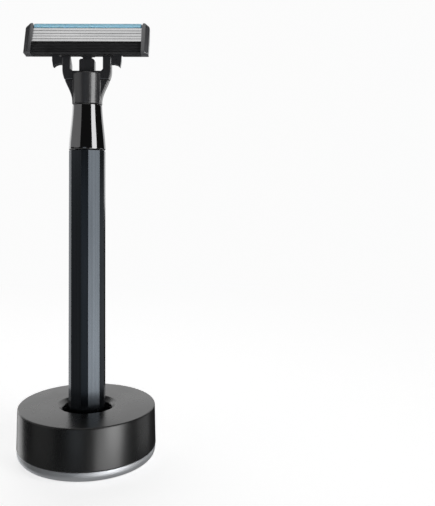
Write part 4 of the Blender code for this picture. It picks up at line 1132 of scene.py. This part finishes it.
def make_set():
    reach = 3.0
    corners = [(-reach, -reach, 0), (reach, -reach, 0), (reach, reach, 0), (-reach, reach, 0)]
    floor = add_sheet("floor", corners, floor_material())
    floor.visible_glossy = False
    floor.visible_shadow = False
    world = bpy.data.worlds.new("studio")
    bpy.context.scene.world = world
    world.use_nodes = True
    tree = world.node_tree
    tree.nodes.clear()
    path = add_node(tree, "ShaderNodeLightPath")
    seen = add_node(tree, "ShaderNodeBackground", {"Color": BACKGROUND})
    direction = add_node(tree, "ShaderNodeTexCoord")
    parts = add_node(tree, "ShaderNodeSeparateXYZ", {0: direction.outputs["Generated"]})
    below = add_node(tree, "ShaderNodeMapRange", {
        "Value": parts.outputs[2], "From Min": -0.42, "From Max": -0.8, "To Min": 0.02, "To Max": 0.3})
    unseen = add_node(tree, "ShaderNodeBackground", {"Strength": below.outputs[0]})
    mix = add_node(tree, "ShaderNodeMixShader", {
        0: path.outputs["Is Camera Ray"], 1: unseen.outputs[0], 2: seen.outputs[0]})
    add_node(tree, "ShaderNodeOutputWorld", {"Surface": mix.outputs[0]})


def make_lights(settings):
    middle = (0.0, 0.0, 0.07)
    add_panel_light("key_light", bearing(53.0, 0.7, 0.2), (0, 0, 0.1), 0.38, 0.9, settings.key)
    add_panel_light("key_low", bearing(42.0, 0.7, -0.24), (0, 0, 0.0), 0.52, 0.36, 0.75 * settings.key)
    add_panel_light("left_high", bearing(-80.0, 0.6, 0.37), (0, 0, 0.3), 1.1, 0.42, 0.33)
    add_panel_light("left_low", bearing(-132.0, 0.7, -0.1), middle, 0.36, 0.9, 1.1)
    add_panel_light("left_dim", bearing(-66.0, 0.7, -0.05), middle, 0.5, 0.5, 0.14)
    add_panel_light("front_fill", bearing(-9.0, 0.9, -0.1), middle, 0.34, 0.5, 0.3, (0.8, 0.9, 1.0))
    add_panel_light("right_back", bearing(112.0, 0.6, -0.06), (0, 0, 0.0), 0.36, 0.34, 0.4)
    add_panel_light("top_light", (-0.035, 0.03, 0.44), (-0.02, 0.0, 0.1), 0.24, 0.46, settings.top)
    add_panel_light("back_wall", (0.0, 0.9, 0.47), (0.0, 0.0, 0.1), 1.8, 0.88, 0.9)


def make_camera(settings):
    """Camera a little to the right of the razor, looking slightly down, with the razor at the left."""
    data = bpy.data.cameras.new("camera")
    data.lens = settings.focal_length
    data.sensor_width = 36.0
    data.shift_x = 0.082
    data.shift_y = -0.1
    camera = bpy.data.objects.new("camera", data)
    bpy.context.scene.collection.objects.link(camera)
    camera.location = (29.9 * MM, -208.0 * MM, 87.2 * MM)
    pitch, roll = math.radians(0.55), math.radians(0.14)
    turn = Matrix.Rotation(math.pi / 2 - pitch, 3, "X") @ Matrix.Rotation(roll, 3, "Z")
    camera.rotation_euler = turn.to_euler()
    data.clip_start = 0.01
    bpy.context.scene.camera = camera


class RAZOR_OT_studio(bpy.types.Operator):
    """Sets up the pale floor, the soft lights and the camera"""

    bl_idname = "razor.studio"
    bl_label = "Studio"
    bl_options = {"REGISTER", "UNDO"}

    def execute(self, context):
        require_unbuilt("camera", "key_light")
        settings = context.scene.razor_studio
        context.scene.view_settings.view_transform = "Standard"
        make_camera(settings)
        make_set()
        make_lights(settings)
        return {"FINISHED"}


# ---------------------------------------------------------------- panel and registration

class RAZOR_PT_panel(bpy.types.Panel):
    """Sizes, colours and build steps of the razor"""

    bl_idname = "RAZOR_PT_panel"
    bl_label = "Cartridge Razor"
    bl_space_type = "VIEW_3D"
    bl_region_type = "UI"
    bl_category = "Razor"

    def draw(self, context):
        layout = self.layout
        for title, name, operator in STEPS:
            box = layout.box()
            box.label(text=title)
            group = getattr(context.scene, name)
            for label in type(group).__annotations__:
                box.prop(group, label)
            for command in operator:
                box.operator(command)


STEPS = (
    ("Studio", "razor_studio", ("razor.studio",)),
    ("Stand", "razor_stand", ("razor.stand",)),
    ("Handle", "razor_handle", ("razor.handle",)),
    ("Head", "razor_head", ("razor.neck", "razor.cartridge")),
)
SETTINGS = {
    "razor_stand": StandSettings, "razor_handle": HandleSettings,
    "razor_head": HeadSettings, "razor_studio": StudioSettings,
}
CLASSES = (
    StandSettings, HandleSettings, HeadSettings, StudioSettings, RAZOR_OT_stand, RAZOR_OT_handle,
    RAZOR_OT_neck, RAZOR_OT_cartridge, RAZOR_OT_studio, RAZOR_PT_panel,
)


def register():
    for item in CLASSES:
        bpy.utils.register_class(item)
    for name, kind in SETTINGS.items():
        setattr(bpy.types.Scene, name, bpy.props.PointerProperty(type=kind))


def unregister():
    for name in SETTINGS:
        delattr(bpy.types.Scene, name)
    for item in reversed(CLASSES):
        bpy.utils.unregister_class(item)


def main():
    register()
    bpy.ops.razor.studio()
    bpy.ops.razor.stand()
    bpy.ops.razor.handle()
    bpy.ops.razor.neck()
    bpy.ops.razor.cartridge()


if __name__ == "__main__":
    main()
